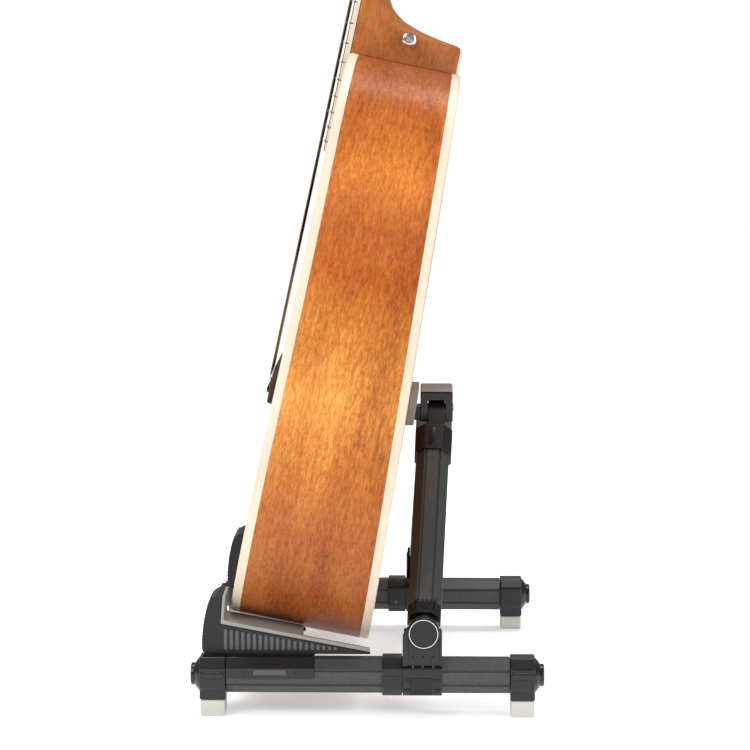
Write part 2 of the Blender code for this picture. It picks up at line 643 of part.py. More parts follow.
def build_arm(word, side, parent):
    """Sloping rest with an upturned lip, its rubber pad, the carrier and lock switch."""
    front = ARM_TIP - 0.1380
    outline = [(front, ARM_BOTTOM + 0.0046), (front + 0.0025, ARM_BOTTOM),
               (ARM_TIP, ARM_BOTTOM), ramp(ARM_TIP, -GAP), ramp(LIP_FOOT - GAP, -GAP),
               (LIP_TOP[0] - GAP, LIP_TOP[1] + 0.0006), (LIP_TOP[0] - 0.0040, LIP_TOP[1] + 0.0008),
               (front + 0.0117, LIP_TOP[1] - 0.0001), (front + 0.0082, LIP_TOP[1] - 0.0021),
               (front + 0.0056, LIP_TOP[1] - 0.0056), (front + 0.0035, LIP_TOP[1] - 0.0128),
               (front + 0.0015, LIP_TOP[1] - 0.0230), (front + 0.0002, LIP_TOP[1] - 0.0360)]
    near, far = sorted((side * ARM_Y[0], side * ARM_Y[1]))
    arm = add(word + "_arm", prism([(x, 0.0, z) for x, z in outline], (0, near, 0),
                                   (0, far - near, 0)), "black_plastic", parent)
    edge = 0.0004
    lean = LIP_TOP[0] - LIP_FOOT
    rest = [ramp(LIP_FOOT), ramp(ARM_TIP - edge), ramp(ARM_TIP - edge, ARM_PAD_THICK),
            ramp(LIP_FOOT + LIP_PAD + lean * 0.13, ARM_PAD_THICK),
            (LIP_TOP[0] + LIP_PAD, LIP_TOP[1]), LIP_TOP]
    pad = add(word + "_arm_pad", prism([(x, 0.0, z) for x, z in rest],
                                       (0, near + edge, 0), (0, far - near - 2 * edge, 0)),
              "grey_rubber", parent)
    for piece, extra in ((arm, 0.0), (pad, edge)):
        reach = sorted((side * (ARM_Y[0] - 0.005), side * (ARM_Y[1] - FLANGE + extra)))
        cutter = box((PLATFORM_END - extra, reach[0], ARM_BOTTOM - 0.01),
                     (ARM_TIP + 0.01, reach[1], LIP_TOP[1]))
        boolean(piece, add(piece.name + "_relief_cutter", cutter, "black_plastic", parent))
    build_carrier(word, side, parent)


def build_carrier(word, side, parent):
    """Saddle over the leg tube: top and both flanks, open below."""
    half, out = TUBE / 2 + GAP, COLLAR / 2
    inner, outer = half * CORNER_FLAT, out * CORNER_FLAT
    low = CARRIER_LOW
    outline = [(out, low), (out, outer), (outer, out), (-outer, out), (-out, outer),
               (-out, low), (-half, low), (-half, inner), (-inner, half), (inner, half),
               (half, inner), (half, low)]
    length = CARRIER[1] - CARRIER[0]
    carrier = prism([(0.0, a, b) for a, b in outline], (CARRIER[0], side * LEG_Y, LEG_Z),
                    (length, 0, 0))
    piece = add(word + "_carrier", carrier, "black_plastic", parent)
    face = side * (LEG_Y + COLLAR / 2)
    play = SWITCH_TRAVEL + GAP
    z_low, z_high = SWITCH_Z
    slot = box((SWITCH[0] - play, face - 0.0008, z_low - GAP),
               (SWITCH[1] + play, face + 0.0008, z_high + GAP))
    boolean(piece, add(word + "_switch_slot_cutter", slot, "black_plastic", parent))
    depth = sorted((face - side * (0.0008 - GAP), face + side * 0.0007))
    switch = box((SWITCH[0], depth[0], z_low), (SWITCH[1], depth[1], z_high))
    add(word + "_lock_switch", switch, "black_plastic", parent)


def build_head():
    """Channel that holds both tongues, its pins, the top pad and the back pad."""
    (x0, y0, z0), (x1, y1, z1) = HEAD_BOX
    s0, s1, roof = HEAD_SLOT
    outline = [(x0, z0), (x0, z1), (x1, z1), (x1, z0), (s1, z0), (s1, roof), (s0, roof),
               (s0, z0)]
    channel = prism([(x, 0.0, z) for x, z in outline], (0, y0, 0), (0, y1 - y0, 0))
    head = add("head", channel, "black_plastic")
    for word, side in SIDES:
        drill = cylinder((x0 - 0.01, side * HEAD_PIVOT[1], HEAD_PIVOT[2]), (1, 0, 0),
                         PIN_RADIUS + GAP, 0.06, 16)
        boolean(head, add(word + "_head_hole_cutter", drill, "black_plastic"))
        start = x0 + 0.0014
        pin = cylinder((start, side * HEAD_PIVOT[1], HEAD_PIVOT[2]), (1, 0, 0), PIN_RADIUS,
                       x1 - start + 0.0008, 16)
        add(word + "_head_pin", pin, "chrome")
    pad = box((x0, y0, z1 + GAP), (x1, y1, z1 + TOP_PAD))
    add("head_top_pad", soften(pad, 0.0010), "grey_rubber")
    corners = []
    low, high = BACK_PAD_Z
    for reach, z in ((0.0, low), (BACK_PAD, low), (BACK_PAD, high), (0.0, high)):
        corners.append((back_plane_x(z) + reach + GAP * 1.2, 0.0, z))
    add("back_pad", soften(prism(corners, (0, -0.030, 0), (0, 0.060, 0)), 0.0008),
        "grey_rubber")
    bridge = []
    for z in (z0 + 0.0004, z0 + 0.012):
        bridge.append((back_plane_x(z) + BACK_PAD + GAP * 2.4, 0.0, z))
    bridge += [(x0 + 0.001, 0.0, z0 + 0.012), (x0 + 0.001, 0.0, z0 + 0.0004)]
    mount = prism(bridge, (0, -0.012, 0), (0, 0.024, 0))
    boolean(head, add("pad_mount_cutter", mount, "black_plastic"), "UNION")


def back_plane_x(z):
    """World x of the plane that touches the arched back's middle, at a world height."""
    low, high = leaned(DEPTH_TAIL + ARCH, 0.0), leaned(DEPTH_NECK + ARCH, BODY_LENGTH)
    return low[0] + (high[0] - low[0]) * (z - low[1]) / (high[1] - low[1])


def build_stand():
    build_head()
    for word, side in SIDES:
        high = Vector((HEAD_PIVOT[0], side * HEAD_PIVOT[1], HEAD_PIVOT[2]))
        low = Vector((KNUCKLE[0], side * KNUCKLE[1], KNUCKLE[2]))
        swing = empty(word + "_upright_pivot", high)
        fold = empty(word + "_leg_pivot", low - high, parent=swing)
        before = set(PARTS.objects)
        inner = build_leg(word, side, fold)
        build_arm(word, side, fold)
        rebase(set(PARTS.objects) - before, fold, low)
        before = set(PARTS.objects)
        build_upright(word, side, inner, swing)
        rebase(set(PARTS.objects) - before, swing, high)


def rebase(pieces, pivot, place):
    """Pieces made in world places keep them under their pivot."""
    for piece in list(pieces) + list(CUTTERS.objects):
        if piece.parent == pivot:
            piece.matrix_parent_inverse = Matrix.Translation(-place)


clear_scene()
PARTS = make_collection(OBJECT_NAME)
CUTTERS = make_collection("cutters")
build_guitar()
build_stand()
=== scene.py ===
"""Looks of the guitar and its folding stand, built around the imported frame."""
import json
import math

import bmesh
import bpy
from mathutils import Matrix, Vector

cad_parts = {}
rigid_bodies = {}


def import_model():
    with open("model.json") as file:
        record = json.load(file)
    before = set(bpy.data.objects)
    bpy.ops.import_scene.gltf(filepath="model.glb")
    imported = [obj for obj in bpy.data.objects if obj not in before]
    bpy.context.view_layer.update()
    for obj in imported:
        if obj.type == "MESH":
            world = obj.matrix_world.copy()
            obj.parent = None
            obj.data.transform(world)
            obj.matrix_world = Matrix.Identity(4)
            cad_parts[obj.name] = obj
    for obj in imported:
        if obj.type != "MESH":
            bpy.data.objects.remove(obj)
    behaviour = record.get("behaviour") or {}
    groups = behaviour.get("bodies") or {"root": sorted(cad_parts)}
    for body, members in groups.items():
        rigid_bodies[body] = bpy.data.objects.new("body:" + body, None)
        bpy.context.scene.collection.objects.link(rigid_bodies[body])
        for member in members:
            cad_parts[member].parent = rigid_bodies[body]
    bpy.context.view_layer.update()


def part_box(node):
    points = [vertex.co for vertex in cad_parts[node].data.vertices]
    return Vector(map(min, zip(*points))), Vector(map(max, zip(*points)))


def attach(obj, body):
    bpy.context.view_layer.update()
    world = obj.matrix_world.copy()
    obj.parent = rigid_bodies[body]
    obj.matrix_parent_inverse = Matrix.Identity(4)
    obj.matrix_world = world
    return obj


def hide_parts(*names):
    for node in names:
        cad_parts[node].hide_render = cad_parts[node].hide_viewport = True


for old in list(bpy.data.objects):
    bpy.data.objects.remove(old, do_unlink=True)
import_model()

# ---- the guitar's own frame: X depth behind the soundboard plane, Y across, Z along
LEAN = math.radians(12.0)
BINDING_DEPTH = 0.0075
RIM = 0.0025
GAP = 0.0003
front_low, front_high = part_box("binding_front")
TAIL = Vector((front_low.x, 0.0, front_low.z + BINDING_DEPTH * math.sin(LEAN)))
GUITAR = Matrix.Translation(TAIL) @ Matrix.Rotation(LEAN, 4, "Y")
BODY_LENGTH = 0.490
DEPTH_TAIL = 0.118
DEPTH_NECK = 0.095
TAIL_RADIUS = 0.40
PLATE = 0.003
ARCH = 0.0020
ARCH_CENTRE = 0.250
ARCH_RINGS = (1.0, 0.97, 0.92, 0.85, 0.76, 0.66, 0.55, 0.43, 0.31, 0.20, 0.08)
TAIL_LIFT = 0.021
TAIL_FADE = 0.120
SADDLE_Z = 0.2075
SCALE_LENGTH = 0.650
NUT_Z = SADDLE_Z + SCALE_LENGTH
HOLE_Z = 0.352
HOLE_RADIUS = 0.050
BOARD_END_Z = 0.4045
BOARD_THICK = 0.0062
NECK_HALF_NUT = 0.0215
NECK_HALF_BODY = 0.0275
NECK_THICK = 0.0150
HEAD_LENGTH = 0.168
HEAD_THICK = 0.0145
TUNER_Z = (NUT_Z + 0.046, NUT_Z + 0.086, NUT_Z + 0.126)
TUNER_Y = (0.0205, 0.0225, 0.0245)
CASE_DEPTH = 0.0090
POST_WAIST = 0.02125         # along the post, where the string winds on
DOT_FRETS = ((2, 3), (4, 5), (6, 7), (8, 9), (11, 12), (14, 15), (16, 17))
HEAD_TILT = math.radians(13.0)
SADDLE_TOP = 0.0098
STRING_RADII = (0.00065, 0.00055, 0.00045, 0.00040, 0.00035, 0.00030)
SADDLE_STRING_HALF = 0.0265
NUT_STRING_HALF = 0.0180
PIN_Z = SADDLE_Z - 0.0130
OUTLINE = ((0.0356, 0.152), (0.0750, 0.184), (0.1250, 0.1975), (0.1750, 0.1930), (0.2250, 0.1740),
    (0.2700, 0.1530), (0.3150, 0.1405), (0.3600, 0.1400), (0.4000, 0.1455), (0.4310, 0.1450), (0.4570,
    0.1350), (0.4760, 0.1130), (0.4860, 0.0820), (0.4900, 0.0450))
TAIL_STEPS = (0.0, 0.045, 0.085, 0.120)
OUTLINE_SUB = 10
RING_STEPS = 96             # round the sound hole

# ---- stand, in the world
FRAME_X = 0.0497
LEG_Y = 0.165
LEG_Z = 0.033
TUBE = 0.0275
COLLAR = 0.0315
CORNER_FLAT = 0.52
PLUG_LENGTH = 0.0077
FOOT_HALF_Y = 0.0120
KNUCKLE = Vector((-0.0040 + FRAME_X, 0.161, 0.0712))
HEAD_PIVOT = Vector((0.0055 + FRAME_X, 0.010, 0.2300))
HEAD_SLOT = (-0.0010 + FRAME_X, 0.0140 + FRAME_X, 0.2395)
EYE_WIDTH = 0.020
EYE_RADIUS = 0.0125
SOCKET = (0.0060, 0.0165)
UPRIGHT = (0.0168, 0.1895)
SLEEVE = (0.1686, 0.1934)
TONGUE_HALF = 0.0085
HEAD_TALL = 0.0254
BACK_PAD = 0.0072
BACK_PAD_Z = (0.2192, 0.2500)
FOOT_CUT = (0.0080, 0.0055)
ARM_Y = (0.1215, 0.163)
ARM_BOTTOM = 0.0492
ARM_TILT = math.radians(10.7)
RAMP = (-0.1646 + FRAME_X, 0.0729)
ARM_PAD_THICK = 0.003
ARM_TIP = -0.0475 + FRAME_X
LIP_FOOT = -0.1701 + FRAME_X
LIP_TOP = (-0.1684 + FRAME_X, 0.0968)
LIP_PAD = 0.0022
PLATFORM_END = -0.1040 + FRAME_X
FLANGE = 0.005
RIB_FIRST = -0.1163
RIB_PITCH = 0.00473
RIB_COUNT = 20
RIB_BOTTOM = 0.0523
RIB_TOP = 0.0700
RIB_FALL = 0.168
CAMERA_PLACE = (0.0497, -2.355, 0.5487)
CAMERA_LOOK = (-0.01994, 1.0, -0.1229)
CAMERA_LENS = 131.3
SENSOR = 36.0
FLOOR_HALF = 6.0
FLOOR_GLOW = 0.33
SKY = 0.80                   # what lights the object
SKY_IN_GLOSS = -0.50         # added to it in reflections
SKY_SEEN = 0.25              # added to it as a backdrop
SIDES = (("left", -1.0), ("right", 1.0))


# ---- materials ------------------------------------------------------------------
class Shader:
    """A small builder for one node material."""

    def __init__(self, name, rough=0.5, metal=0.0, coat=0.0, specular=0.5):
        self.material = bpy.data.materials.new(name)
        self.material.use_nodes = True
        self.tree = self.material.node_tree
        self.shader = self.tree.nodes["Principled BSDF"]
        self.shader.inputs["Roughness"].default_value = rough
        self.shader.inputs["Metallic"].default_value = metal
        self.shader.inputs["Coat Weight"].default_value = coat
        self.shader.inputs["Coat Roughness"].default_value = 0.18
        self.shader.inputs["Specular IOR Level"].default_value = specular

    def node(self, kind, **settings):
        made = self.tree.nodes.new(kind)
        for key, value in settings.items():
            setattr(made, key, value)
        return made

    def link(self, source, target):
        self.tree.links.new(source, target)

    def place(self, scale=(1.0, 1.0, 1.0), uv=False, turn=(0.0, 0.0, 0.0)):
        """Coordinates in metres, scaled per axis."""
        source = self.node("ShaderNodeTexCoord")
        mapping = self.node("ShaderNodeMapping")
        mapping.inputs["Scale"].default_value = scale
        mapping.inputs["Rotation"].default_value = turn
        self.link(source.outputs["UV" if uv else "Object"], mapping.inputs["Vector"])
        return mapping.outputs["Vector"]

    def noise(self, vector, scale, detail=4.0, rough=0.55, distortion=0.0):
        made = self.node("ShaderNodeTexNoise")
        made.inputs["Scale"].default_value = scale
        made.inputs["Detail"].default_value = detail
        made.inputs["Roughness"].default_value = rough
        made.inputs["Distortion"].default_value = distortion
        self.link(vector, made.inputs["Vector"])
        return made.outputs["Fac"]

    def ramp(self, value, stops):
        """stops are (position, colour) with colour as (r, g, b)."""
        made = self.node("ShaderNodeValToRGB")
        line = made.color_ramp
        while len(line.elements) < len(stops):
            line.elements.new(0.5)
        for element, (position, colour) in zip(line.elements, stops):
            element.position = position
            element.color = (*colour, 1.0)
        self.link(value, made.inputs["Fac"])
        return made.outputs["Color"]

    def mix(self, factor, one, two, blend="MIX"):
        made = self.node("ShaderNodeMix", data_type="RGBA", blend_type=blend)
        for socket, value in ((made.inputs[0], factor), (made.inputs[6], one),
                              (made.inputs[7], two)):
            if isinstance(value, (int, float)):
                socket.default_value = value
            elif isinstance(value, tuple):
                socket.default_value = (*value, 1.0)
            else:
                self.link(value, socket)
        return made.outputs[2]

    def math(self, operation, one, two=None):
        made = self.node("ShaderNodeMath", operation=operation)
        for socket, value in zip(made.inputs, (one, two)):
            if isinstance(value, (int, float)):
                socket.default_value = value
            elif value is not None:
                self.link(value, socket)
        return made.outputs[0]

    def spread(self, value, low, high):
        """A 0-1 value mapped to low-high."""
        made = self.node("ShaderNodeMapRange")
        made.inputs["To Min"].default_value = low
        made.inputs["To Max"].default_value = high
        self.link(value, made.inputs["Value"])
        return made.outputs["Result"]

    def colour(self, source):
        if isinstance(source, tuple):
            self.shader.inputs["Base Color"].default_value = (*source, 1.0)
        else:
            self.link(source, self.shader.inputs["Base Color"])

    def rough(self, source):
        self.link(source, self.shader.inputs["Roughness"])

    def bump(self, height, strength, distance):
        made = self.node("ShaderNodeBump")
        made.inputs["Strength"].default_value = strength
        made.inputs["Distance"].default_value = distance
        self.link(height, made.inputs["Height"])
        self.link(made.outputs["Normal"], self.shader.inputs["Normal"])


def wood(name, along, dark, middle, light, painted_light=None, uv=False, gloss=0.42, pores=0.35,
         size=1.0):
    """Satin wood: broad stripes of tone, stretched grain, short dark pores, and optionally painted shade and
    highlight.

    along holds the three stretch scales of the coordinates: small along the grain.
    """
    paint = Shader(name, rough=gloss, coat=0.06, specular=0.22)
    space = paint.place(along, uv)
    broad = paint.noise(space, 15.0, 4.0, 0.55, 0.6)
    grain = paint.noise(space, 330.0 * size, 6.0, 0.75, 0.2)
    fine = paint.noise(space, 900.0 * size, 3.0, 0.6)
    mixed = paint.math("ADD", paint.math("MULTIPLY", broad, 0.52), paint.math("MULTIPLY", grain, 0.48))
    colour = paint.ramp(mixed, [(0.38, dark), (0.50, middle), (0.63, light)])
    # painted shade and highlight: a brightness tint along one axis of the object, multiplied into the wood
    # colour
    if painted_light is not None:
        position = paint.node("ShaderNodeSeparateXYZ")
        paint.link(paint.place(), position.inputs[0])
        warp = paint.noise(space, 3.0, 2.0)
        spot = paint.math("ADD", position.outputs[painted_light[0]], paint.spread(warp, -painted_light[1], painted_light[1]))
        level = paint.node("ShaderNodeMapRange")
        level.inputs["From Min"].default_value = painted_light[2]
        level.inputs["From Max"].default_value = painted_light[3]
        paint.link(spot, level.inputs["Value"])
        painted_light_tint = paint.ramp(level.outputs["Result"], painted_light[4])
        colour = paint.mix(1.0, colour, painted_light_tint, "MULTIPLY")
    figure = paint.ramp(fine, [(0.36, (1.0 - pores,) * 3), (0.50, (1.0, 1.0, 1.0))])
    colour = paint.mix(1.0, colour, figure, "MULTIPLY")
    paint.colour(colour)
    paint.rough(paint.spread(fine, gloss + 0.08, gloss - 0.06))
    paint.bump(fine, 0.18, 0.0002)
    return paint.material


def moulded(name, colour, rough, grain=900.0, strength=0.25, metal=0.0, speck=0.25,
            specular=0.5):
    """Textured plastic, rubber or anodised metal with a fine even grain."""
    paint = Shader(name, rough=rough, metal=metal, specular=specular)
    space = paint.place()
    fine = paint.noise(space, grain, 2.0)
    broad = paint.noise(space, 14.0, 3.0)
    base = tuple(channel * (1.0 - speck) for channel in colour)
    lift = tuple(min(1.0, channel * (1.0 + speck)) for channel in colour)
    tone = paint.mix(paint.spread(fine, -0.4, 1.4), base, lift)
    cloud = paint.ramp(broad, [(0.3, (0.88, 0.88, 0.88)), (0.7, (1.0, 1.0, 1.0))])
    paint.colour(paint.mix(1.0, tone, cloud, "MULTIPLY"))
    paint.rough(paint.spread(broad, rough - 0.06, rough + 0.08))
    paint.bump(fine, strength, 0.00012)
    return paint.material


def polished(name, colour, rough):
    """Plated metal with faint rub marks."""
    paint = Shader(name, rough=rough, metal=1.0)
    marks = paint.noise(paint.place((1, 1, 6)), 160.0, 3.0)
    paint.colour(paint.mix(paint.spread(marks, 0.0, 0.5), colour,
        tuple(channel * 0.8 for channel in colour)))
    paint.rough(paint.spread(marks, rough, rough + 0.12))
    return paint.material


# painted shade and highlight down the bent side, from the tail to the neck: (place, brightness tint)
SIDE_PAINTED_LIGHT = [(0.00, (0.44, 0.36, 0.32)), (0.10, (0.56, 0.46, 0.42)), (0.22, (0.70, 0.60, 0.58)), (0.32,
    (1.00, 1.10, 1.12)), (0.44, (1.48, 2.05, 2.35)), (0.54, (1.15, 1.38, 1.20)), (0.64, (0.88, 0.72,
    0.44)), (0.72, (0.84, 0.70, 0.42)), (0.82, (1.20, 1.24, 0.86)), (0.90, (0.94, 0.82, 0.60)), (1.00,
    (0.58, 0.48, 0.42))]
M = {
    # the sides carry painted shade and highlight down their length
    "sides": wood("mahogany_sides", (0.28, 1.0, 1.0), (0.23, 0.050, 0.008), (0.43, 0.118, 0.019), (0.62,
        0.225, 0.045), uv=True, pores=0.30, painted_light=(2, 0.012, 0.0, BODY_LENGTH, SIDE_PAINTED_LIGHT)),
    "back": wood("mahogany_back", (1.0, 1.0, 0.22), (0.22, 0.055, 0.010), (0.36, 0.100, 0.019), (0.48,
        0.160, 0.034)),
    "neck": wood("mahogany_neck", (1.0, 1.0, 0.24), (0.26, 0.070, 0.014), (0.39, 0.118, 0.024), (0.52,
        0.180, 0.042), pores=0.22),
    "spruce": wood("spruce_top", (1.0, 2.0, 0.03), (0.52, 0.28, 0.09), (0.70, 0.44, 0.18), (0.80, 0.56,
        0.27), pores=0.08, gloss=0.36, size=0.7),
    "rosewood": wood("rosewood_dark", (1.0, 1.0, 0.10), (0.014, 0.007, 0.004), (0.035, 0.016, 0.009),
        (0.075, 0.034, 0.018), gloss=0.50),
    "binding": moulded("cream_binding", (0.66, 0.565, 0.435), 0.40, 300.0, 0.03, speck=0.05,
        specular=0.3),
    "bone": moulded("bone", (0.78, 0.75, 0.66), 0.35, 300.0, 0.03, speck=0.04),
    "chrome": polished("chrome", (0.66, 0.66, 0.67), 0.10),
    "steel": polished("plain_string", (0.62, 0.60, 0.56), 0.28),
    "bronze": polished("wound_string", (0.20, 0.14, 0.09), 0.38),
    "fret": polished("fret_wire", (0.70, 0.69, 0.66), 0.22),
    "anodised": moulded("anodised_extrusion", (0.040, 0.043, 0.041), 0.34, 1100.0, 0.35, speck=0.60,
        specular=0.45),
    "plastic": moulded("black_plastic", (0.006, 0.006, 0.006), 0.26, 500.0, 0.08, specular=0.45),
    "matte_plastic": moulded("grained_plastic", (0.008, 0.008, 0.008), 0.42, 1300.0, 0.35,
        specular=0.4),
    # lighter grey: on the arm's ribs it is painted highlight on the rib faces; the lock switch and the
    # collar screw use it too
    "rib": moulded("grey_plastic_and_rib_highlight", (0.085, 0.085, 0.083), 0.50, 1300.0, 0.30),
    "groove": moulded("groove_shadow", (0.006, 0.006, 0.006), 0.60, 900.0, 0.10),
    "rubber": moulded("grey_rubber", (0.29, 0.275, 0.25), 0.75, 800.0, 0.35, speck=0.12, specular=0.2),
    "foot": moulded("foot_rubber", (0.53, 0.52, 0.47), 0.60, 1500.0, 0.10, speck=0.04, specular=0.25),
    "white": moulded("white_print", (0.85, 0.85, 0.85), 0.45, 400.0, 0.02, speck=0.03),
}


# ---- mesh helpers ---------------------------------------------------------------
def finish_piece(name, bm, look, body, node=None, bevel=0.0, space=None, smooth=35):
    """Turns a bmesh into a piece: look, body, the CAD node it stands for, soft edges."""
    bmesh.ops.recalc_face_normals(bm, faces=bm.faces[:])
    mesh = bpy.data.meshes.new(name)
    bm.to_mesh(mesh)
    bm.free()
    piece = bpy.data.objects.new(name, mesh)
    bpy.context.scene.collection.objects.link(piece)
    if space is not None:
        piece.matrix_world = space
    mesh.materials.append(M[look])
    mesh.shade_smooth()
    mesh.set_sharp_from_angle(angle=math.radians(smooth))
    if bevel:
        round_edges = piece.modifiers.new("edges", "BEVEL")
        round_edges.width = bevel
        round_edges.segments = 3
        round_edges.limit_method = "ANGLE"
        round_edges.angle_limit = math.radians(30)
        round_edges.harden_normals = True
    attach(piece, body)
    if node:
        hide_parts(node)


def on_guitar(name, bm, look, node=None, bevel=0.0, body="guitar", smooth=35):
    """A piece made in the guitar's own frame."""
    finish_piece(name, bm, look, body, node, bevel, GUITAR, smooth)


def circle(radius, steps):
    """Points round a circle, as (a, b)."""
    angles = [2 * math.pi * i / steps for i in range(steps)]
    return [(radius * math.cos(angle), radius * math.sin(angle)) for angle in angles]


def aim(axis):
    """Rotation that takes Z to the given direction."""
    return Vector((0, 0, 1)).rotation_difference(Vector(axis)).to_matrix()


def prism(outline, travel):
    """Closed solid: a flat outline of 3-D points, moved along travel."""
    near = [Vector(point) for point in outline]
    return loft([near, [point + Vector(travel) for point in near]])


def box(low, high):
    bm = bmesh.new()
    bmesh.ops.create_cube(bm, size=1.0)
    for vert in bm.verts:
        vert.co = [low[i] + (vert.co[i] + 0.5) * (high[i] - low[i]) for i in range(3)]
    return bm


def box_between(one, two):
    """Box between two opposite corners in any order."""
    return box([min(a, b) for a, b in zip(one, two)], [max(a, b) for a, b in zip(one, two)])


def loft(sections, closed=True):
    """Skin through equal rings of points, capped at both ends when closed."""
    bm = bmesh.new()
    rings = [[bm.verts.new(point) for point in section] for section in sections]
    count = len(rings[0])
    for lower, upper in zip(rings, rings[1:]):
        for i in range(count):
            j = (i + 1) % count
            bm.faces.new((lower[i], lower[j], upper[j], upper[i]))
    if closed:
        bm.faces.new(rings[0])
        bm.faces.new(rings[-1])
    return bm


def turned(profile, start, axis, steps=40):
    """Solid of revolution of (radius, height) points, from the axis back to the axis."""
    bm = bmesh.new()
    turn = aim(axis)
    rings = []
    for radius, height in profile:
        count = steps if radius > 0.0 else 1
        rings.append([bm.verts.new(Vector(start) + turn @ Vector((a, b, height))) for a,
            b in circle(radius, count)])
    for lower, upper in zip(rings, rings[1:]):
        for i in range(steps):
            j = (i + 1) % steps
            corners = []
            for ring, index in ((lower, i), (lower, j), (upper, j), (upper, i)):
                vert = ring[index % len(ring)]
                if vert not in corners:
                    corners.append(vert)
            if len(corners) > 2:
                bm.faces.new(corners)
    return bm


def tube(route, radius, sides=10):
    """Round wire along a list of points."""
    sections = []
    for i, point in enumerate(route):
        ahead = route[min(i + 1, len(route) - 1)] - route[max(i - 1, 0)]
        turn = aim(ahead.normalized())
        sections.append([point + turn @ Vector((a, b, 0)) for a, b in circle(radius, sides)])
    return loft(sections)


def merge(*meshes):
    """Several bmeshes as one."""
    whole = bmesh.new()
    for bm in meshes:
        scratch = bpy.data.meshes.new("scratch")
        bm.to_mesh(scratch)
        bm.free()
        whole.from_mesh(scratch)
        bpy.data.meshes.remove(scratch)
    return whole


# ---- guitar body ----------------------------------------------------------------
def back_depth(z):
    return DEPTH_TAIL - (DEPTH_TAIL - DEPTH_NECK) * z / BODY_LENGTH


def lifted(depth, y, z):
    """Point of the body's wall: the tail edge rises a little towards the back."""
    return Vector((depth, y, z + TAIL_LIFT * depth * max(0.0, 1.0 - z / TAIL_FADE)))


def half_outline():
    """Smooth right half of the body outline as (z, y), from the tail to the neck."""
    tail = [(TAIL_RADIUS - math.sqrt(TAIL_RADIUS ** 2 - y * y), y) for y in TAIL_STEPS]
    keys = tail + list(OUTLINE)
    smooth = []
    for i in range(len(keys) - 1):
        before = keys[max(i - 1, 0)]
        after = keys[min(i + 2, len(keys) - 1)]
        for step in range(OUTLINE_SUB):
            t = step / OUTLINE_SUB
            smooth.append(tuple(0.5 * (2 * b + (c - a) * t + (2 * a - 5 * b + 4 * c - d) * t * t + (3
                * b - a - 3 * c + d) * t ** 3) for a, b, c, d in zip(before, keys[i], keys[i + 1],
                after)))
    return smooth + [keys[-1]]


def body_loop(inset=0.0):
    """Closed body outline as (y, z) points, moved inwards by inset."""
    right = half_outline()
    loop = [(y, z) for z, y in right] + [(-y, z) for z, y in reversed(right[1:])]
    count = len(loop)
    moved = []
    for i, (y, z) in enumerate(loop):
        before, after = loop[i - 1], loop[(i + 1) % count]
        along = Vector((after[0] - before[0], after[1] - before[1])).normalized()
        moved.append((y - along.y * inset, z + along.x * inset))
    return moved


def rim_piece(name, profile, look, node):
    """Ring round the body: profile(z) gives its section as (depth, inset) corners."""
    count = len(body_loop())
    corners = len(profile(0.0))
    loops = {}
    rings = []
    base = body_loop()
    for i in range(count):
        ring = []
        for k in range(corners):
            depth, inset = profile(base[i][1])[k]
            if inset not in loops:
                loops[inset] = body_loop(inset)
            y, z = loops[inset][i]
            ring.append(lifted(depth, y, z))
        rings.append(ring)
    bm = bmesh.new()
    verts = [[bm.verts.new(point) for point in ring] for ring in rings]
    layer = bm.loops.layers.uv.new("grain")
    travel = [0.0]
    for i in range(count):
        ahead = base[(i + 1) % count]
        travel.append(travel[-1] + math.dist(base[i], ahead))
    for i in range(count):
        j = (i + 1) % count
        for k in range(corners):
            m = (k + 1) % corners
            face = bm.faces.new((verts[i][k], verts[j][k], verts[j][m], verts[i][m]))
            face.smooth = True
            for loop, along, corner in zip(face.loops, (i, i + 1, i + 1, i), (k, k, m, m)):
                ring = rings[along % count]
                loop[layer].uv = (travel[along], ring[corner].x)
    on_guitar(name, bm, look, node, smooth=50)


def front_section(_):
    return [(0.0, RIM), (0.0, 0.0014), (0.0003, 0.0006), (0.0009, 0.0002), (0.0016, 0.0),
        (BINDING_DEPTH, 0.0), (BINDING_DEPTH, RIM)]


def back_section(z):
    deep = back_depth(z)
    return [(deep, RIM), (deep, 0.0014), (deep - 0.0003, 0.0006), (deep - 0.0009, 0.0002),
        (deep - 0.0016, 0.0), (deep - BINDING_DEPTH, 0.0), (deep - BINDING_DEPTH, RIM)]


def side_section(z):
    low, high = BINDING_DEPTH + 0.0001, back_depth(z) - BINDING_DEPTH - 0.0001
    return [(low, RIM), (low, 0.0), (low + (high - low) * 0.33, 0.0), (low + (high - low) * 0.67, 0.0),
        (high, 0.0), (high, RIM)]


def build_top():
    """Soundboard inside the binding, with its round sound hole."""
    bm = bmesh.new()
    edge = [bm.verts.new((0.0, y, z)) for y, z in body_loop(RIM + 0.0001)]
    hole = [bm.verts.new((0.0, y, HOLE_Z + z)) for y, z in circle(HOLE_RADIUS, RING_STEPS)]
    edges = []
    for loop in (edge, hole):
        edges += [bm.edges.new(pair) for pair in zip(loop, loop[1:] + loop[:1])]
    bmesh.ops.triangle_fill(bm, use_beauty=True, edges=edges)
    inner = [bm.verts.new(vert.co + Vector((PLATE, 0.0, 0.0))) for vert in edge + hole]
    bm.verts.index_update()
    for face in bm.faces[:]:
        bm.faces.new([inner[vert.index] for vert in reversed(face.verts)])
    for loop in (edge, hole):
        for one, two in zip(loop, loop[1:] + loop[:1]):
            bm.faces.new((one, two, inner[two.index], inner[one.index]))
    on_guitar("top_plate", bm, "spruce", "soundboard")


def arched_plate(inset):
    """Back plate that bulges towards its middle, the same thickness all over."""
    rings = []
    deep = back_depth(ARCH_CENTRE)
    for depth in (0.0, -PLATE):
        for share in ARCH_RINGS:
            bulge = depth + ARCH * (1.0 - share * share)
            ring = []
            for y, z in body_loop(inset):
                point = lifted(back_depth(z), y, z)
                ring.append(Vector((deep + (point.x - deep) * share + bulge, y * share,
                    ARCH_CENTRE + (point.z - ARCH_CENTRE) * share)))
            rings.append(ring)
    half = len(ARCH_RINGS)
    return loft(rings[half - 1::-1] + rings[half:])


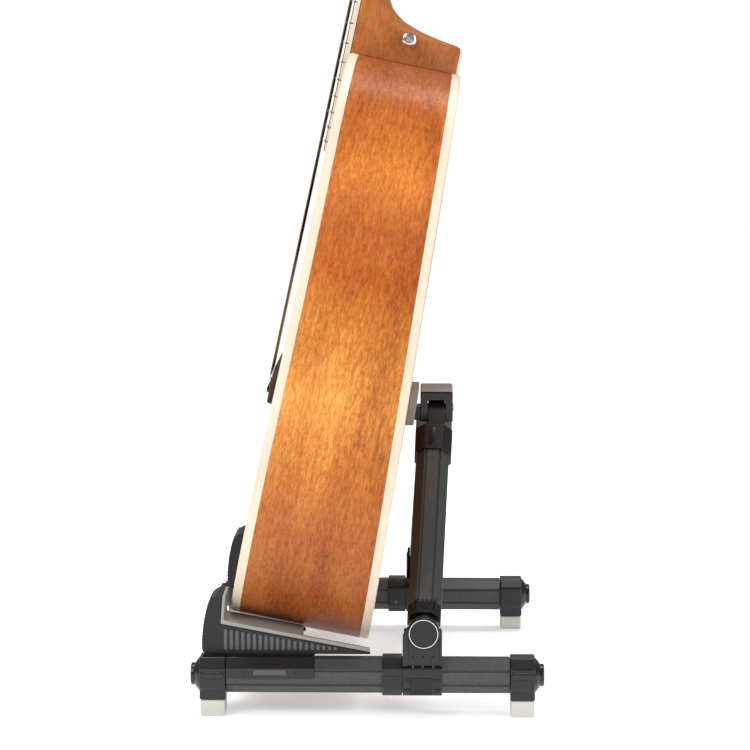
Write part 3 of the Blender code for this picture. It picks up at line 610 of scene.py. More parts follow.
def ring_piece(name, inner, outer, look, depth=-0.00025):
    """Thin inlaid ring round the sound hole, between two distances from its edge."""
    rings = []
    for reach, x in ((inner, 0.0), (inner, depth), (outer, depth), (outer, 0.0)):
        rings.append([Vector((x, y, HOLE_Z + z)) for y, z in circle(HOLE_RADIUS + reach, RING_STEPS)])
    bm = loft(rings + [rings[0]], closed=False)
    bmesh.ops.remove_doubles(bm, verts=bm.verts[:], dist=0.00001)
    on_guitar(name, bm, look)


def build_body():
    rim_piece("sides_wood", side_section, "sides", "sides")
    rim_piece("front_binding_strip", front_section, "binding", "binding_front")
    rim_piece("back_binding_strip", back_section, "binding", "binding_back")
    build_top()
    on_guitar("back_plate", arched_plate(RIM + 0.0001), "back", "back")
    ring_piece("rosette_inner", 0.0040, 0.0052, "binding")
    ring_piece("rosette_band", 0.0054, 0.0104, "rosewood")
    ring_piece("rosette_outer", 0.0106, 0.0118, "binding")


# ---- neck, bridge, strings ------------------------------------------------------
def neck_section(z, half, thick, taper, fill=0.42):
    """D-shaped slice of the neck: flat under the fingerboard, round behind."""
    steps = 24
    points = [Vector((0.0, -half, z)), Vector((0.0, half, z))]
    for i in range(steps + 1):
        angle = math.pi * i / steps
        points.append(Vector((thick * (fill + (1 - fill) * math.sin(angle)),
            half * math.cos(angle) * taper, z)))
    return points


def head_normal():
    return Vector((math.cos(HEAD_TILT), 0.0, -math.sin(HEAD_TILT)))


def head_point(y, z, depth):
    """Point on the tilted headstock, depth behind its front face."""
    front = Vector((math.tan(HEAD_TILT) * (z - NUT_Z - 0.003), y, z))
    return front + head_normal() * depth


def build_neck():
    start = BODY_LENGTH + GAP
    heel = ((start, 0.0275, 0.0925, 0.80), (0.5090, 0.0275, 0.0925, 0.80), (0.5120, 0.0275, 0.0915,
        0.80), (0.5138, 0.0275, 0.0870, 0.81), (0.5155, 0.0274, 0.0740, 0.84), (0.5172, 0.0273, 0.0645,
        0.87), (0.5190, 0.0272, 0.0560, 0.90), (0.5220, 0.0271, 0.0465, 0.93), (0.5250, 0.0270, 0.0385,
        0.95), (0.5295, 0.0269, 0.0320, 0.98), (0.5340, 0.0268, 0.0270, 1.0), (0.5410, 0.0266, 0.0228,
        1.0), (0.5480, 0.0265, 0.0200, 1.0), (0.5700, 0.0260, 0.0190, 1.0), (0.6000, 0.0255, 0.0180,
        1.0), (0.7200, 0.0237, 0.0165, 1.0), (NUT_Z - 0.030, 0.0218, NECK_THICK, 1.0), (NUT_Z - 0.004,
        0.0214, 0.0150, 1.0))
    shaft = loft([neck_section(*slice_) for slice_ in heel])
    on_guitar("neck_wood", shaft, "neck", "neck")
    top = NUT_Z + HEAD_LENGTH
    face = [(-0.0214, NUT_Z - 0.020), (0.0214, NUT_Z - 0.020), (0.0212, NUT_Z + 0.004), (0.0300,
        NUT_Z + 0.028), (0.0375, top - 0.012), (0.0180, top - 0.002), (0.0, top - 0.006), (-0.0180,
        top - 0.002), (-0.0375, top - 0.012), (-0.0300, NUT_Z + 0.028), (-0.0212, NUT_Z + 0.004)]
    front, back = [], []
    for y, z in face:
        if z < NUT_Z:
            front.append(Vector((0.0035, y, z)))
            back.append(Vector((0.0120, y, z)))
        else:
            front.append(head_point(y, z, 0.0009))
            back.append(head_point(y, z, HEAD_THICK * math.cos(HEAD_TILT)))
    on_guitar("headstock_wood", loft([front, back]), "neck", bevel=0.0012)
    build_heel_cap(start)
    veneer = [(y * 0.985, max(z, NUT_Z + 0.0042)) for y, z in face if z > NUT_Z]
    low = [head_point(y, z, 0.0) for y, z in veneer]
    high = [head_point(y, z, 0.0008) for y, z in veneer]
    on_guitar("headstock_veneer", loft([low, high]), "rosewood")


def build_heel_cap(start):
    """Cream plate over the heel's back, edge-on from the side."""
    sections = []
    for z, thick in ((start + 0.0002, 0.0925), (0.5090, 0.0925), (0.5118, 0.0915)):
        arc = []
        for reach in (-0.0008, 0.0002):
            sweep = [math.radians(76 + 2 * i) for i in range(15)]
            for angle in (sweep if reach < 0.0 else reversed(sweep)):
                depth = thick * (0.42 + 0.58 * math.sin(angle)) + reach
                arc.append(Vector((depth, 0.0275 * math.cos(angle) * 0.80, z)))
        sections.append(arc)
    on_guitar("heel_cap", loft(sections), "binding", bevel=0.0002)


def board_half(z):
    """Half width of the fingerboard at z."""
    share = (z - BOARD_END_Z) / (NUT_Z - BOARD_END_Z)
    return NECK_HALF_BODY + 0.0015 + (NECK_HALF_NUT - NECK_HALF_BODY - 0.0015) * share


def build_board_edges(top):
    """Cream strips along both sides of the fingerboard, ticked by dark fret ends that are partly painted
    fret shadow.
    """
    strips, ticks = [], []
    for side in (-1.0, 1.0):
        rings = []
        for z in (BOARD_END_Z + 0.0002, top - 0.0002):
            half = board_half(z)
            inner, outer = side * (half - 0.0014), side * (half + 0.0002)
            rings.append([Vector((-0.0005, inner, z)), Vector((-0.0005, outer, z)), Vector((-0.0050,
                outer, z)), Vector((-0.0050, inner, z))])
        strips.append(loft(rings))
        for z in fret_places():
            face = side * (board_half(z) + 0.0002)
            ticks.append(box_between((-0.0051, face - side * 0.0004, z - 0.0004), (-0.0030,
                face + side * 0.0001, z + 0.0004)))
    on_guitar("fingerboard_edges", merge(*strips), "binding", bevel=0.0002)
    # the fret ends are coloured dark as painted shadow of the frets and strings
    on_guitar("fret_ends_and_shadows", merge(*ticks), "rosewood")


def fret_places():
    """Heights of the frets that lie on the board."""
    places = [NUT_Z - SCALE_LENGTH * (1.0 - 2.0 ** (-number / 12.0)) for number in range(1, 21)]
    return [z for z in places if z > BOARD_END_Z + 0.004]


def build_fingerboard():
    top = NUT_Z - 0.0025 - GAP
    half_end = NECK_HALF_BODY + 0.0015
    camber = 0.0007
    sections = []
    for z, half in ((BOARD_END_Z, half_end), (top, NECK_HALF_NUT)):
        ring = [Vector((-GAP, -half, z)), Vector((-GAP, half, z))]
        for i in range(17):
            across = 1.0 - i / 8.0
            ring.append(Vector((-BOARD_THICK + camber * across ** 2, half * across, z)))
        sections.append(ring)
    on_guitar("fingerboard_wood", loft(sections), "rosewood", "fingerboard", 0.0003)
    build_board_edges(top)
    bars = []
    for z in fret_places():
        half = board_half(z) - 0.0004
        bars.append(tube([Vector((-BOARD_THICK + camber, -half, z)), Vector((-BOARD_THICK - 0.0001,
            -half * 0.5, z)), Vector((-BOARD_THICK - 0.0002, 0.0, z)), Vector((-BOARD_THICK - 0.0001,
            half * 0.5, z)), Vector((-BOARD_THICK + camber, half, z))], 0.0009))
    on_guitar("frets", merge(*bars), "fret")
    dots = []
    for low, high in DOT_FRETS:
        z = NUT_Z - SCALE_LENGTH * (1.0 - 0.5 * (2.0 ** (-low / 12.0) + 2.0 ** (-high / 12.0)))
        spots = (-0.0105, 0.0105) if high == 12 else (0.0,)
        for y in spots:
            dots.append(turned([(0.0, 0.0004), (0.0028, 0.0004), (0.0029, 0.0), (0.0, 0.0)],
                (-BOARD_THICK + 0.0002, y, z), (-1, 0, 0), 24))
    on_guitar("position_dots", merge(*dots), "bone")
    nut = box((-BOARD_THICK - 0.0015, -NECK_HALF_NUT, NUT_Z - 0.0025), (-GAP, NECK_HALF_NUT,
        NUT_Z + 0.0020))
    on_guitar("nut_block", nut, "bone", "nut", 0.0006)


def build_bridge():
    base = SADDLE_Z - 0.022
    outline = [(-0.078, base + 0.004), (-0.040, base), (0.040, base), (0.078, base + 0.004), (0.078,
        base + 0.026), (0.045, base + 0.033), (-0.045, base + 0.033), (-0.078, base + 0.026)]
    block = prism([(-GAP, y, z) for y, z in outline], (-0.0072, 0, 0))
    on_guitar("bridge_block", block, "rosewood", "bridge", 0.0022)
    saddle = box((-SADDLE_TOP, -0.0368, SADDLE_Z - 0.0013), (-0.0068, 0.0368, SADDLE_Z + 0.0013))
    on_guitar("saddle_bar", saddle, "bone", "saddle", 0.0008)
    pins = []
    for number in range(6):
        y = SADDLE_STRING_HALF * (number / 2.5 - 1.0)
        pins.append(turned([(0.0, 0.0042), (0.0018, 0.0040), (0.0031, 0.0026), (0.0032, 0.0014),
            (0.0022, 0.0004), (0.0021, -0.0030), (0.0, -0.0030)], (-0.0072, y, PIN_Z), (-1, 0, 0), 24))
    on_guitar("bridge_pins", merge(*pins), "plastic")


def string_route(number):
    """Points of one string: pin, saddle, nut and its post's waist."""
    share = number / 2.5 - 1.0
    saddle_y, nut_y = SADDLE_STRING_HALF * share, NUT_STRING_HALF * share
    radius = STRING_RADII[number]
    bank, place = ("bass", number) if number < 3 else ("treble", 5 - number)
    sign = -1.0 if number < 3 else 1.0
    waist = HEAD_THICK * math.cos(HEAD_TILT) + GAP + 0.0030 - POST_WAIST
    post = head_point(sign * TUNER_Y[place], TUNER_Z[place], waist)
    inner = Vector((0.0, -sign * (0.0022 + radius), 0.0))
    route = [Vector((-0.0066, saddle_y, PIN_Z + 0.0018)), Vector((-0.0078, saddle_y, PIN_Z + 0.0040)),
        Vector((-SADDLE_TOP - radius, saddle_y, SADDLE_Z)), Vector((-BOARD_THICK - 0.0016 - radius,
        nut_y, NUT_Z)), post + inner]
    return route, radius, f"tuner_{bank}_{place + 1}_spindle", post


def build_strings():
    for number in range(6):
        route, radius, spindle, post = string_route(number)
        look = "bronze" if number < 4 else "steel"
        on_guitar(f"string_{6 - number}", tube(route, radius, 12), look)
        turn = aim(head_normal())
        coil = []
        for i in range(61):
            angle = 2 * math.pi * i / 20
            rise = (i / 60.0 - 0.5) * 0.0021
            coil.append(post + turn @ Vector(((0.0022 + radius) * math.cos(angle),
                (0.0022 + radius) * math.sin(angle), rise)))
        on_guitar(f"string_coil_{6 - number}", tube(coil, radius * 0.95, 8), look, body=spindle)


# ---- tuners and hardware --------------------------------------------------------
def case_box(half, middle):
    """Box square to the tilted headstock."""
    case = box([-side for side in half], half)
    turn = Matrix.Translation(middle) @ Matrix.Rotation(HEAD_TILT, 4, "Y")
    bmesh.ops.transform(case, matrix=turn, verts=case.verts)
    return case


def build_tuners():
    behind = HEAD_THICK * math.cos(HEAD_TILT) + GAP
    normal = head_normal()
    for bank, sign in (("bass", -1.0), ("treble", 1.0)):
        plate = head_point(sign * TUNER_Y[1], TUNER_Z[1], behind + 0.0008)
        cases = [case_box((0.0008, 0.0078, 0.0530), plate)]
        screws = []
        for place, (y, z) in enumerate(zip(TUNER_Y, TUNER_Z)):
            name = f"tuner_{bank}_{place + 1}"
            middle = head_point(sign * y, z, behind + CASE_DEPTH / 2 + 0.0004)
            cases.append(case_box((CASE_DEPTH / 2 - 0.0002, 0.0064, 0.0078), middle))
            for step in (-0.0130, 0.0130):
                spot = head_point(sign * y, z + step, behind + 0.0016)
                screws.append(turned([(0.0, 0.0009), (0.0014, 0.0008), (0.0021, 0.0), (0.0, 0.0)], spot,
                    normal, 20))
            profile = [(0.0, 0.0265), (0.0022, 0.0265), (0.0028, 0.0262), (0.0030, 0.0255), (0.0030,
                0.0235), (0.0022, 0.0225), (0.0022, 0.0200), (0.0030, 0.0190), (0.0030, 0.0), (0.0,
                0.0)]
            post = turned(profile, head_point(sign * y, z, behind + 0.0030), -normal, 28)
            on_guitar(name + "_peg", post, "chrome", name + "_post", body=name + "_spindle")
            knob = [(0.0, 0.0234), (0.0040, 0.0232), (0.0062, 0.0226), (0.0078, 0.0210), (0.0085,
                0.0190), (0.0085, 0.0120), (0.0078, 0.0095), (0.0062, 0.0078), (0.0030, 0.0070),
                (0.0022, 0.0064), (0.0022, 0.0), (0.0, 0.0)]
            shaft = middle + Vector((0.0, sign * (0.0065 + GAP), 0.0))
            on_guitar(name + "_knob", turned(knob, shaft, (0, sign, 0), 32), "chrome", name + "_button",
                body=name + "_key")
        on_guitar(f"tuner_{bank}_gears", merge(*cases), "chrome", f"tuner_{bank}_housing", 0.0005)
        on_guitar(f"tuner_{bank}_screws", merge(*screws), "fret")


def build_hardware():
    button = [(0.0, 0.0118), (0.0030, 0.0119), (0.0048, 0.0117), (0.0060, 0.0110), (0.0062, 0.0100),
        (0.0059, 0.0090), (0.0044, 0.0074), (0.0036, 0.0058), (0.0032, 0.0030), (0.0042, 0.0013),
        (0.0050, 0.0008), (0.0050, 0.0), (0.0, 0.0)]
    on_guitar("heel_button", turned(button, (0.0462, -0.0262, 0.5108), (0, -1, 0), 40), "chrome",
        "strap_button")
    screw = turned([(0.0, 0.0003), (0.0020, 0.0003), (0.0024, 0.0), (0.0, 0.0)], (0.0462, -0.0381,
        0.5108), (0, -1, 0), 24)
    on_guitar("heel_button_screw", screw, "fret")
    end = [(0.0, 0.0130), (0.0040, 0.0128), (0.0060, 0.0116), (0.0062, 0.0102), (0.0044, 0.0078),
        (0.0034, 0.0050), (0.0044, 0.0014), (0.0056, 0.0006), (0.0056, 0.0), (0.0, 0.0)]
    on_guitar("end_pin", turned(end, (0.0590, 0.0, -0.0002), (0, 0, -1), 40), "plastic")


# ---- stand ----------------------------------------------------------------------
def octagon(across, soft=0.0):
    """Octagon as (a, b) points; each corner is cut by a small chamfer when soft."""
    half = across / 2
    short = half * CORNER_FLAT
    corners = [(half, -short), (half, short), (short, half), (-short, half), (-half, short), (-half,
        -short), (-short, -half), (short, -half)]
    if not soft:
        return corners
    points = []
    for i, corner in enumerate(corners):
        here = Vector(corner)
        before = (Vector(corners[i - 1]) - here).normalized()
        after = (Vector(corners[(i + 1) % 8]) - here).normalized()
        points += [tuple(here + before * soft), tuple(here + (before + after) * soft * 0.12),
            tuple(here + after * soft)]
    return points


def grooved(across, side_grooves=((-0.0058, 0.0016), (0.0058, 0.0016)), deep=0.0011):
    """Extrusion profile: soft octagon with long grooves on its four main flats."""
    half = across / 2
    short = half * CORNER_FLAT
    face = [(half, -short)]
    for middle, wide in side_grooves:
        edge = wide / 2
        face += [(half, middle - edge), (half - deep, middle - edge * 0.7), (half - deep,
            middle + edge * 0.7), (half, middle + edge)]
    face.append((half, short))
    points = []
    for turn in range(4):
        for a, b in face:
            for _ in range(turn):
                a, b = -b, a
            points.append((a, b))
    return points


def along_leg(outline, span, y):
    """Solid along X through a section of (a, b) points around the leg's axis."""
    rings = [[Vector((x, y + a, LEG_Z + b)) for a, b in outline] for x in span]
    return loft(rings)


def pivots(side):
    """Leg pivot and head pivot of one side."""
    return [Vector((spot.x, side * spot.y, spot.z)) for spot in (KNUCKLE, HEAD_PIVOT)]


def along_upright(outline, span, side):
    low, high = pivots(side)
    axis = (high - low).normalized()
    turn = aim(axis)
    return loft([[low + axis * reach + turn @ Vector((a, b, 0)) for a, b in outline] for reach in span])


def upright_frame(side):
    """Matrix at the leg pivot with Z up along the upright."""
    low, high = pivots(side)
    return Matrix.Translation(low) @ aim((high - low).normalized()).to_4x4()


def pill(length, width, height, steps=10):
    """Flat pill lying in XZ at y 0, rising along -Y by height, with a soft top edge."""
    rings = []
    for inset, rise in ((0.0, 0.0), (0.0, height * 0.55), (height * 0.25, height * 0.9),
                        (height * 0.6, height)):
        ring = []
        for end in (1.0, -1.0):
            for i in range(steps + 1):
                angle = math.pi * (i / steps - 0.5) + (0.0 if end > 0 else math.pi)
                radius = width / 2 - inset
                ring.append(Vector((end * (length - width) / 2 + radius * math.cos(angle), -rise,
                    radius * math.sin(angle))))
        rings.append(ring)
    return loft(rings)


def shifted(bm, matrix):
    bmesh.ops.transform(bm, matrix=matrix, verts=bm.verts)
    return bm


def facing(side):
    """Turns what was made facing -Y to face outwards on either side."""
    return Matrix.Diagonal((1.0, -side, 1.0, 1.0))


def build_cap(word, end, outward, side):
    """End cap: octagon over a foot block, pill boss outside, coned end with a disc."""
    low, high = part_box(f"{word}_{end}_cap")
    foot_low, foot_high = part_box(f"{word}_{end}_foot")
    y = side * LEG_Y
    half = COLLAR / 2
    short = half * CORNER_FLAT
    ends = [low.x, high.x]
    ends[1 if outward > 0 else 0] -= outward * PLUG_LENGTH
    outline = [(half, -short), (half, short), (short, half), (-short, half), (-half, short), (-half,
        -short), (-FOOT_HALF_Y, -half * 0.8), (-FOOT_HALF_Y, foot_high.z + GAP - LEG_Z), (FOOT_HALF_Y,
        foot_high.z + GAP - LEG_Z), (FOOT_HALF_Y, -half * 0.8)]
    leg = word + "_leg"
    block = along_leg(outline, ends, y)
    finish_piece(f"{word}_{end}_cap_shell", block, "plastic", leg, f"{word}_{end}_cap", 0.0011)
    profile = [(0.0, PLUG_LENGTH - 0.0010), (0.0058, PLUG_LENGTH - 0.0010), (0.0064,
        PLUG_LENGTH - 0.0002), (0.0076, PLUG_LENGTH), (0.0089, PLUG_LENGTH - 0.0005), (0.0092,
        PLUG_LENGTH - 0.0014), (0.0092, 0.0045), (0.0098, 0.0038), (0.0108, 0.0033), (0.0145, 0.0002),
        (0.0147, -0.0005), (0.0, -0.0005)]
    start = (ends[1] if outward > 0 else ends[0], y, LEG_Z)
    finish_piece(f"{word}_{end}_cap_end", turned(profile, start, (outward, 0, 0), 48), "plastic", leg)
    middle = (ends[0] + ends[1]) / 2
    face = y + side * (half - 0.0001)
    framed_pill(f"{word}_{end}_cap_boss", leg, 0.0188, 0.0056, side, Matrix.Translation((middle, face,
        LEG_Z + 0.0022)))
    reach = FOOT_HALF_Y - 0.0006
    sole = [(-reach, FOOT_CUT[1]), (-reach + FOOT_CUT[0], 0.0), (reach, 0.0), (reach, foot_high.z),
        (-reach, foot_high.z)]
    pad = prism([(foot_low.x, y + side * a, b) for a, b in sole], (foot_high.x - foot_low.x, 0, 0))
    finish_piece(f"{word}_{end}_foot_pad", pad, "foot", leg, f"{word}_{end}_foot", 0.0016)


def framed_pill(name, body, length, width, side, place):
    """Raised pill with a dark groove round it, facing outwards."""
    groove = pill(length + 0.0016, width + 0.0016, 0.00035)
    finish_piece(name + "_groove", shifted(groove, place @ facing(side)), "groove", body)
    finish_piece(name, shifted(pill(length, width, 0.0009), place @ facing(side)), "plastic", body)


def build_collar(word, side):
    """Sliding collar with a ridge outside and a screw inside."""
    y = side * LEG_Y
    leg = word + "_leg"
    half = COLLAR / 2
    outer = octagon(COLLAR, 0.0009)
    low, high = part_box(word + "_leg_collar")
    finish_piece(word + "_collar_ring", along_leg(outer, (low.x, high.x), y), "plastic", leg,
        word + "_leg_collar", 0.0003)
    ridge = box_between((low.x + 0.0004, y + side * (half - 0.0006), LEG_Z - 0.0010), (high.x - 0.0004,
        y + side * (half + 0.0003), LEG_Z + 0.0022))
    finish_piece(word + "_collar_ridge", ridge, "plastic", leg, bevel=0.0004)
    inner = y - side * (half - 0.0002)
    screw = turned([(0.0, 0.0006), (0.0012, 0.0007), (0.0017, 0.0002), (0.0017, 0.0), (0.0, 0.0)],
        (low.x + 0.0069, inner, LEG_Z - 0.0050), (0, -side, 0), 24)
    finish_piece(word + "_collar_screw", screw, "rib", leg)


def build_bracket(word, side):
    """Bracket whose ribbed lug carries the leg's pivot and its knob."""
    y = side * LEG_Y
    leg = word + "_leg"
    outer = octagon(COLLAR, 0.0009)
    low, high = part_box(word + "_bracket")
    finish_piece(word + "_bracket_ring", along_leg(outer, (low.x, high.x), y), "plastic", leg,
        word + "_bracket", 0.0003)
    build_lug(word, side, low, high)
    build_clip(word, side, low, high)
    build_knob(word, side)


def build_lug(word, side, low, high):
    """Web, cheeks and ribs above the bracket."""
    leg = word + "_leg"
    face = side * LEG_Y + side * (COLLAR / 2 + 0.0008)
    back = side * LEG_Y + side * (COLLAR / 2 - 0.0045)
    root = LEG_Z + 0.0105
    web = box_between((low.x + 0.0010, back, root), (high.x - 0.0006, face - side * 0.0014,
        KNUCKLE.z + 0.0030))
    finish_piece(word + "_lug", web, "plastic", leg, bevel=0.0008)
    cheek = prism([(low.x, back, root), (low.x, back, KNUCKLE.z - 0.0026), (low.x + 0.0046, back,
        KNUCKLE.z + 0.0054), (low.x + 0.0046, back, root)], (0, face - back, 0))
    post = box_between((high.x - 0.0022, back, root), (high.x, face, KNUCKLE.z + 0.0014))
    finish_piece(word + "_lug_cheeks", merge(cheek, post), "plastic", leg, bevel=0.0006)
    ribs = []
    for spot in (0.26, 0.51, 0.78):
        x = low.x + (high.x - low.x) * spot
        ribs.append(box_between((x - 0.0010, back, root - 0.0020), (x + 0.0010, face,
            KNUCKLE.z - 0.0200)))
    finish_piece(word + "_lug_ribs", merge(*ribs), "plastic", leg, bevel=0.0004)


def build_clip(word, side, low, high):
    """Clip, tabs and slot on the bracket's outer face."""
    y = side * LEG_Y
    leg = word + "_leg"
    half = COLLAR / 2
    clip = [box_between((low.x + 0.0064, y + side * (half - 0.0010), LEG_Z - 0.0135), (high.x - 0.0078,
        y + side * (half + 0.0008), LEG_Z + 0.0007))]
    for x in (low.x + 0.0022, high.x - 0.0056):
        for z in (LEG_Z - 0.0015, LEG_Z - 0.0100):
            clip.append(box_between((x - 0.0010, y + side * (half - 0.0010), z - 0.0016), (x + 0.0044,
                y + side * (half + 0.0004), z + 0.0016)))
    finish_piece(word + "_bracket_clip", merge(*clip), "matte_plastic", leg, bevel=0.0005)
    slot = pill(0.0105, 0.0016, 0.0003)
    place = Matrix.Translation(((low.x + high.x) / 2 - 0.0007, y + side * (half + 0.0007),
        LEG_Z - 0.0106))
    finish_piece(word + "_clip_slot", shifted(slot, place @ facing(side)), "groove", leg)


def build_knob(word, side):
    """Plain round pivot cap with a white ring."""
    leg = word + "_leg"
    face = side * LEG_Y + side * (COLLAR / 2 + 0.0008)
    knob = [(0.0, 0.0046), (0.0108, 0.0046), (0.0110, 0.0048), (0.0118, 0.0048), (0.0128, 0.0044),
        (0.0134, 0.0034), (0.0134, 0.0008), (0.0130, 0.0), (0.0035, 0.0), (0.0035, -0.0200), (0.0,
        -0.0200)]
    start = (KNUCKLE.x, face + side * GAP, KNUCKLE.z)
    finish_piece(word + "_knob_cap", turned(knob, start, (0, side, 0), 72), "matte_plastic", leg,
        word + "_knob")
    ring = [(0.01135, 0.00482), (0.01175, 0.00482), (0.01175, 0.00470), (0.01135, 0.00470)]
    band = ring_of(ring, start, (0, side, 0), 96)
    finish_piece(word + "_knob_ring", band, "white", leg)


def ring_of(section, start, axis, steps):
    """Closed ring turned from a closed (radius, height) section."""
    turn = aim(axis)
    rings = []
    for i in range(steps):
        angle = 2 * math.pi * i / steps
        rings.append([Vector(start) + turn @ Vector((r * math.cos(angle), r * math.sin(angle),
            h)) for r, h in section])
    bm = loft(rings + [rings[0]], closed=False)
    bmesh.ops.remove_doubles(bm, verts=bm.verts[:], dist=0.000005)
    return bm


def build_leg(word, side):
    y = side * LEG_Y
    leg = word + "_leg"
    low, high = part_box(word + "_leg_tube")
    tube_shape = along_leg(grooved(TUBE), (low.x, high.x), y)
    finish_piece(word + "_leg_extrusion", tube_shape, "anodised", leg, word + "_leg_tube", 0.0004)
    build_cap(word, "front", -1, side)
    build_cap(word, "rear", 1, side)
    build_collar(word, side)
    build_bracket(word, side)


def build_upright(word, side):
    """Ankle with its eye and grip ribs, grooved tube, sleeve with bosses and tongue."""
    frame_body = word + "_frame"
    finish_piece(word + "_upright_extrusion", along_upright(grooved(TUBE), UPRIGHT, side), "anodised",
        frame_body, word + "_upright", 0.0004)
    turn = upright_frame(side)
    half = TUBE / 2
    ankle = along_upright(octagon(TUBE, 0.0010), SOCKET, side)
    eye_y = side * (LEG_Y + COLLAR / 2 - 0.0045 - GAP)
    eye = turned([(0.0, 0.0), (EYE_RADIUS, 0.0), (EYE_RADIUS, EYE_WIDTH), (0.0, EYE_WIDTH)], (KNUCKLE.x,
        eye_y, KNUCKLE.z), (0, -side, 0), 48)
    finish_piece(word + "_ankle_block", ankle, "plastic", frame_body, word + "_ankle", 0.0004)
    finish_piece(word + "_ankle_eye", eye, "plastic", frame_body, bevel=0.0008)
    ribs = []
    for i in range(6):
        x = (i - 2.5) * 0.0036
        ribs.append(shifted(box_between((x - 0.0008, side * (half - 0.0006), 0.0100), (x + 0.0008,
            side * (half + 0.0008), 0.0188)), turn))
    finish_piece(word + "_ankle_ribs", merge(*ribs), "plastic", frame_body, bevel=0.0004)
    sleeve = along_upright(octagon(COLLAR, 0.0009), SLEEVE, side)
    finish_piece(word + "_sleeve", sleeve, "plastic", frame_body, word + "_top_fitting", 0.0005)
    upright = Matrix.Rotation(math.radians(90), 4, "Y")
    face = side * (COLLAR / 2 - 0.0001)
    place = turn @ Matrix.Translation((-0.0010, face, (SLEEVE[0] + SLEEVE[1]) / 2))
    groove = pill(0.0196, 0.0064, 0.00035)
    finish_piece(word + "_sleeve_groove", shifted(groove, place @ facing(side) @ upright), "groove",
        frame_body)
    boss = pill(0.0182, 0.0050, 0.0009)
    finish_piece(word + "_sleeve_boss", shifted(boss, place @ facing(side) @ upright), "plastic", frame_body)
    build_tongue(word, side)


def build_tongue(word, side):
    low, high = pivots(side)
    axis = (high - low).normalized()
    across = Vector((0, axis.z, -axis.y)).normalized()
    along = Vector((0, axis.y, axis.z)).normalized()
    centre = Vector((0, high.y, high.z))
    foot = -((high - low).length - SLEEVE[1]) - 0.001
    outline = [centre + along * foot - across * TONGUE_HALF,
        centre + along * foot + across * TONGUE_HALF]
    for i in range(17):
        angle = math.pi * i / 16
        outline.append(centre + across * (TONGUE_HALF * math.cos(angle)) + along * (TONGUE_HALF
            * math.sin(angle)))
    outline = [point + Vector((HEAD_SLOT[0] + GAP, 0, 0)) for point in outline]
    thick = HEAD_SLOT[1] - HEAD_SLOT[0] - 2 * GAP
    finish_piece(word + "_tongue", prism(outline, (thick, 0, 0)), "plastic", word + "_frame", bevel=0.0006)


def leaned(w, u):
    """World x and z of a point given in the guitar's frame (depth, height)."""
    return (TAIL.x + w * math.cos(LEAN) + u * math.sin(LEAN),
        TAIL.z - w * math.sin(LEAN) + u * math.cos(LEAN))


def ramp(x, lift=0.0):
    """Point of the arm's sloping top at x, lifted square to the slope."""
    return (x, RAMP[1] - (x - RAMP[0]) * math.tan(ARM_TILT) + lift / math.cos(ARM_TILT))


def arm_curl():
    """Front contour of the arm, from its foot over the crest to the lip, as (x, z)."""
    front = ARM_TIP - 0.1380
    crest_x, crest_z = LIP_TOP
    return [(front + 0.0025, ARM_BOTTOM), (front + 0.0008, ARM_BOTTOM + 0.0014), (front,
        ARM_BOTTOM + 0.0046), (front + 0.0002, crest_z - 0.0360), (front + 0.0015, crest_z - 0.0230),
        (front + 0.0035, crest_z - 0.0128), (front + 0.0056, crest_z - 0.0056), (front + 0.0082,
        crest_z - 0.0021), (front + 0.0117, crest_z - 0.0001), (crest_x - 0.0040, crest_z + 0.0008),
        (crest_x - GAP, crest_z + 0.0006)]


def build_arm(word, side):
    """Wedge with upright ribs outside, curled lip, rubber mat and the locking carrier."""
    leg = word + "_leg"
    near, far = side * ARM_Y[1], side * ARM_Y[0]
    ledge = side * (ARM_Y[1] - FLANGE)
    curl = arm_curl()
    start = curl + [ramp(LIP_FOOT - GAP, -GAP)]
    full = start + [ramp(ARM_TIP, -GAP), (ARM_TIP, ARM_BOTTOM)]
    short = start + [ramp(PLATFORM_END, -GAP), (PLATFORM_END, ARM_BOTTOM)]
    slab = prism([(x, near, z) for x, z in full], (0, ledge - near, 0))
    block = prism([(x, ledge - side * 0.0002, z) for x, z in short], (0, far - ledge + side * 0.0002,
        0))
    finish_piece(word + "_arm_wedge", merge(slab, block), "matte_plastic", leg, word + "_arm", 0.0004)
    # the ribs' light grey is painted highlight on their faces
    ribs = []
    for number in range(RIB_COUNT):
        x = RIB_FIRST + RIB_PITCH * number
        height = max(RIB_TOP - (x - RIB_FIRST) * RIB_FALL - RIB_BOTTOM, 0.0028)
        rib = pill(height, 0.0027, 0.0009)
        turn = Matrix.Rotation(math.radians(90), 4, "Y")
        place = Matrix.Translation((x, near - side * 0.0002, RIB_BOTTOM + height / 2))
        ribs.append(shifted(rib, place @ facing(side) @ turn))
    finish_piece(word + "_arm_ribs", merge(*ribs), "rib", leg)
    build_contours(word, side, curl)
    build_mat(word, side)
    build_carrier(word, side)


def build_contours(word, side, curl):
    """Fine ribs over the curled front, each with a short slant on the outer face."""
    lines = []
    contour = curl[2:9]
    for number in range(13):
        height = contour[0][1] + 0.0040 + number * 0.0029
        for (x0, z0), (x1, z1) in zip(contour, contour[1:]):
            if z0 <= height <= z1:
                x = x0 + (x1 - x0) * (height - z0) / (z1 - z0)
                near = side * (ARM_Y[1] - 0.0001)
                lines.append(tube([Vector((x, side * ARM_Y[0], height)), Vector((x, near, height)),
                    Vector((x + 0.0024, near, height + 0.0030))], 0.00045, 8))
    finish_piece(word + "_arm_contours", merge(*lines), "matte_plastic", word + "_leg")


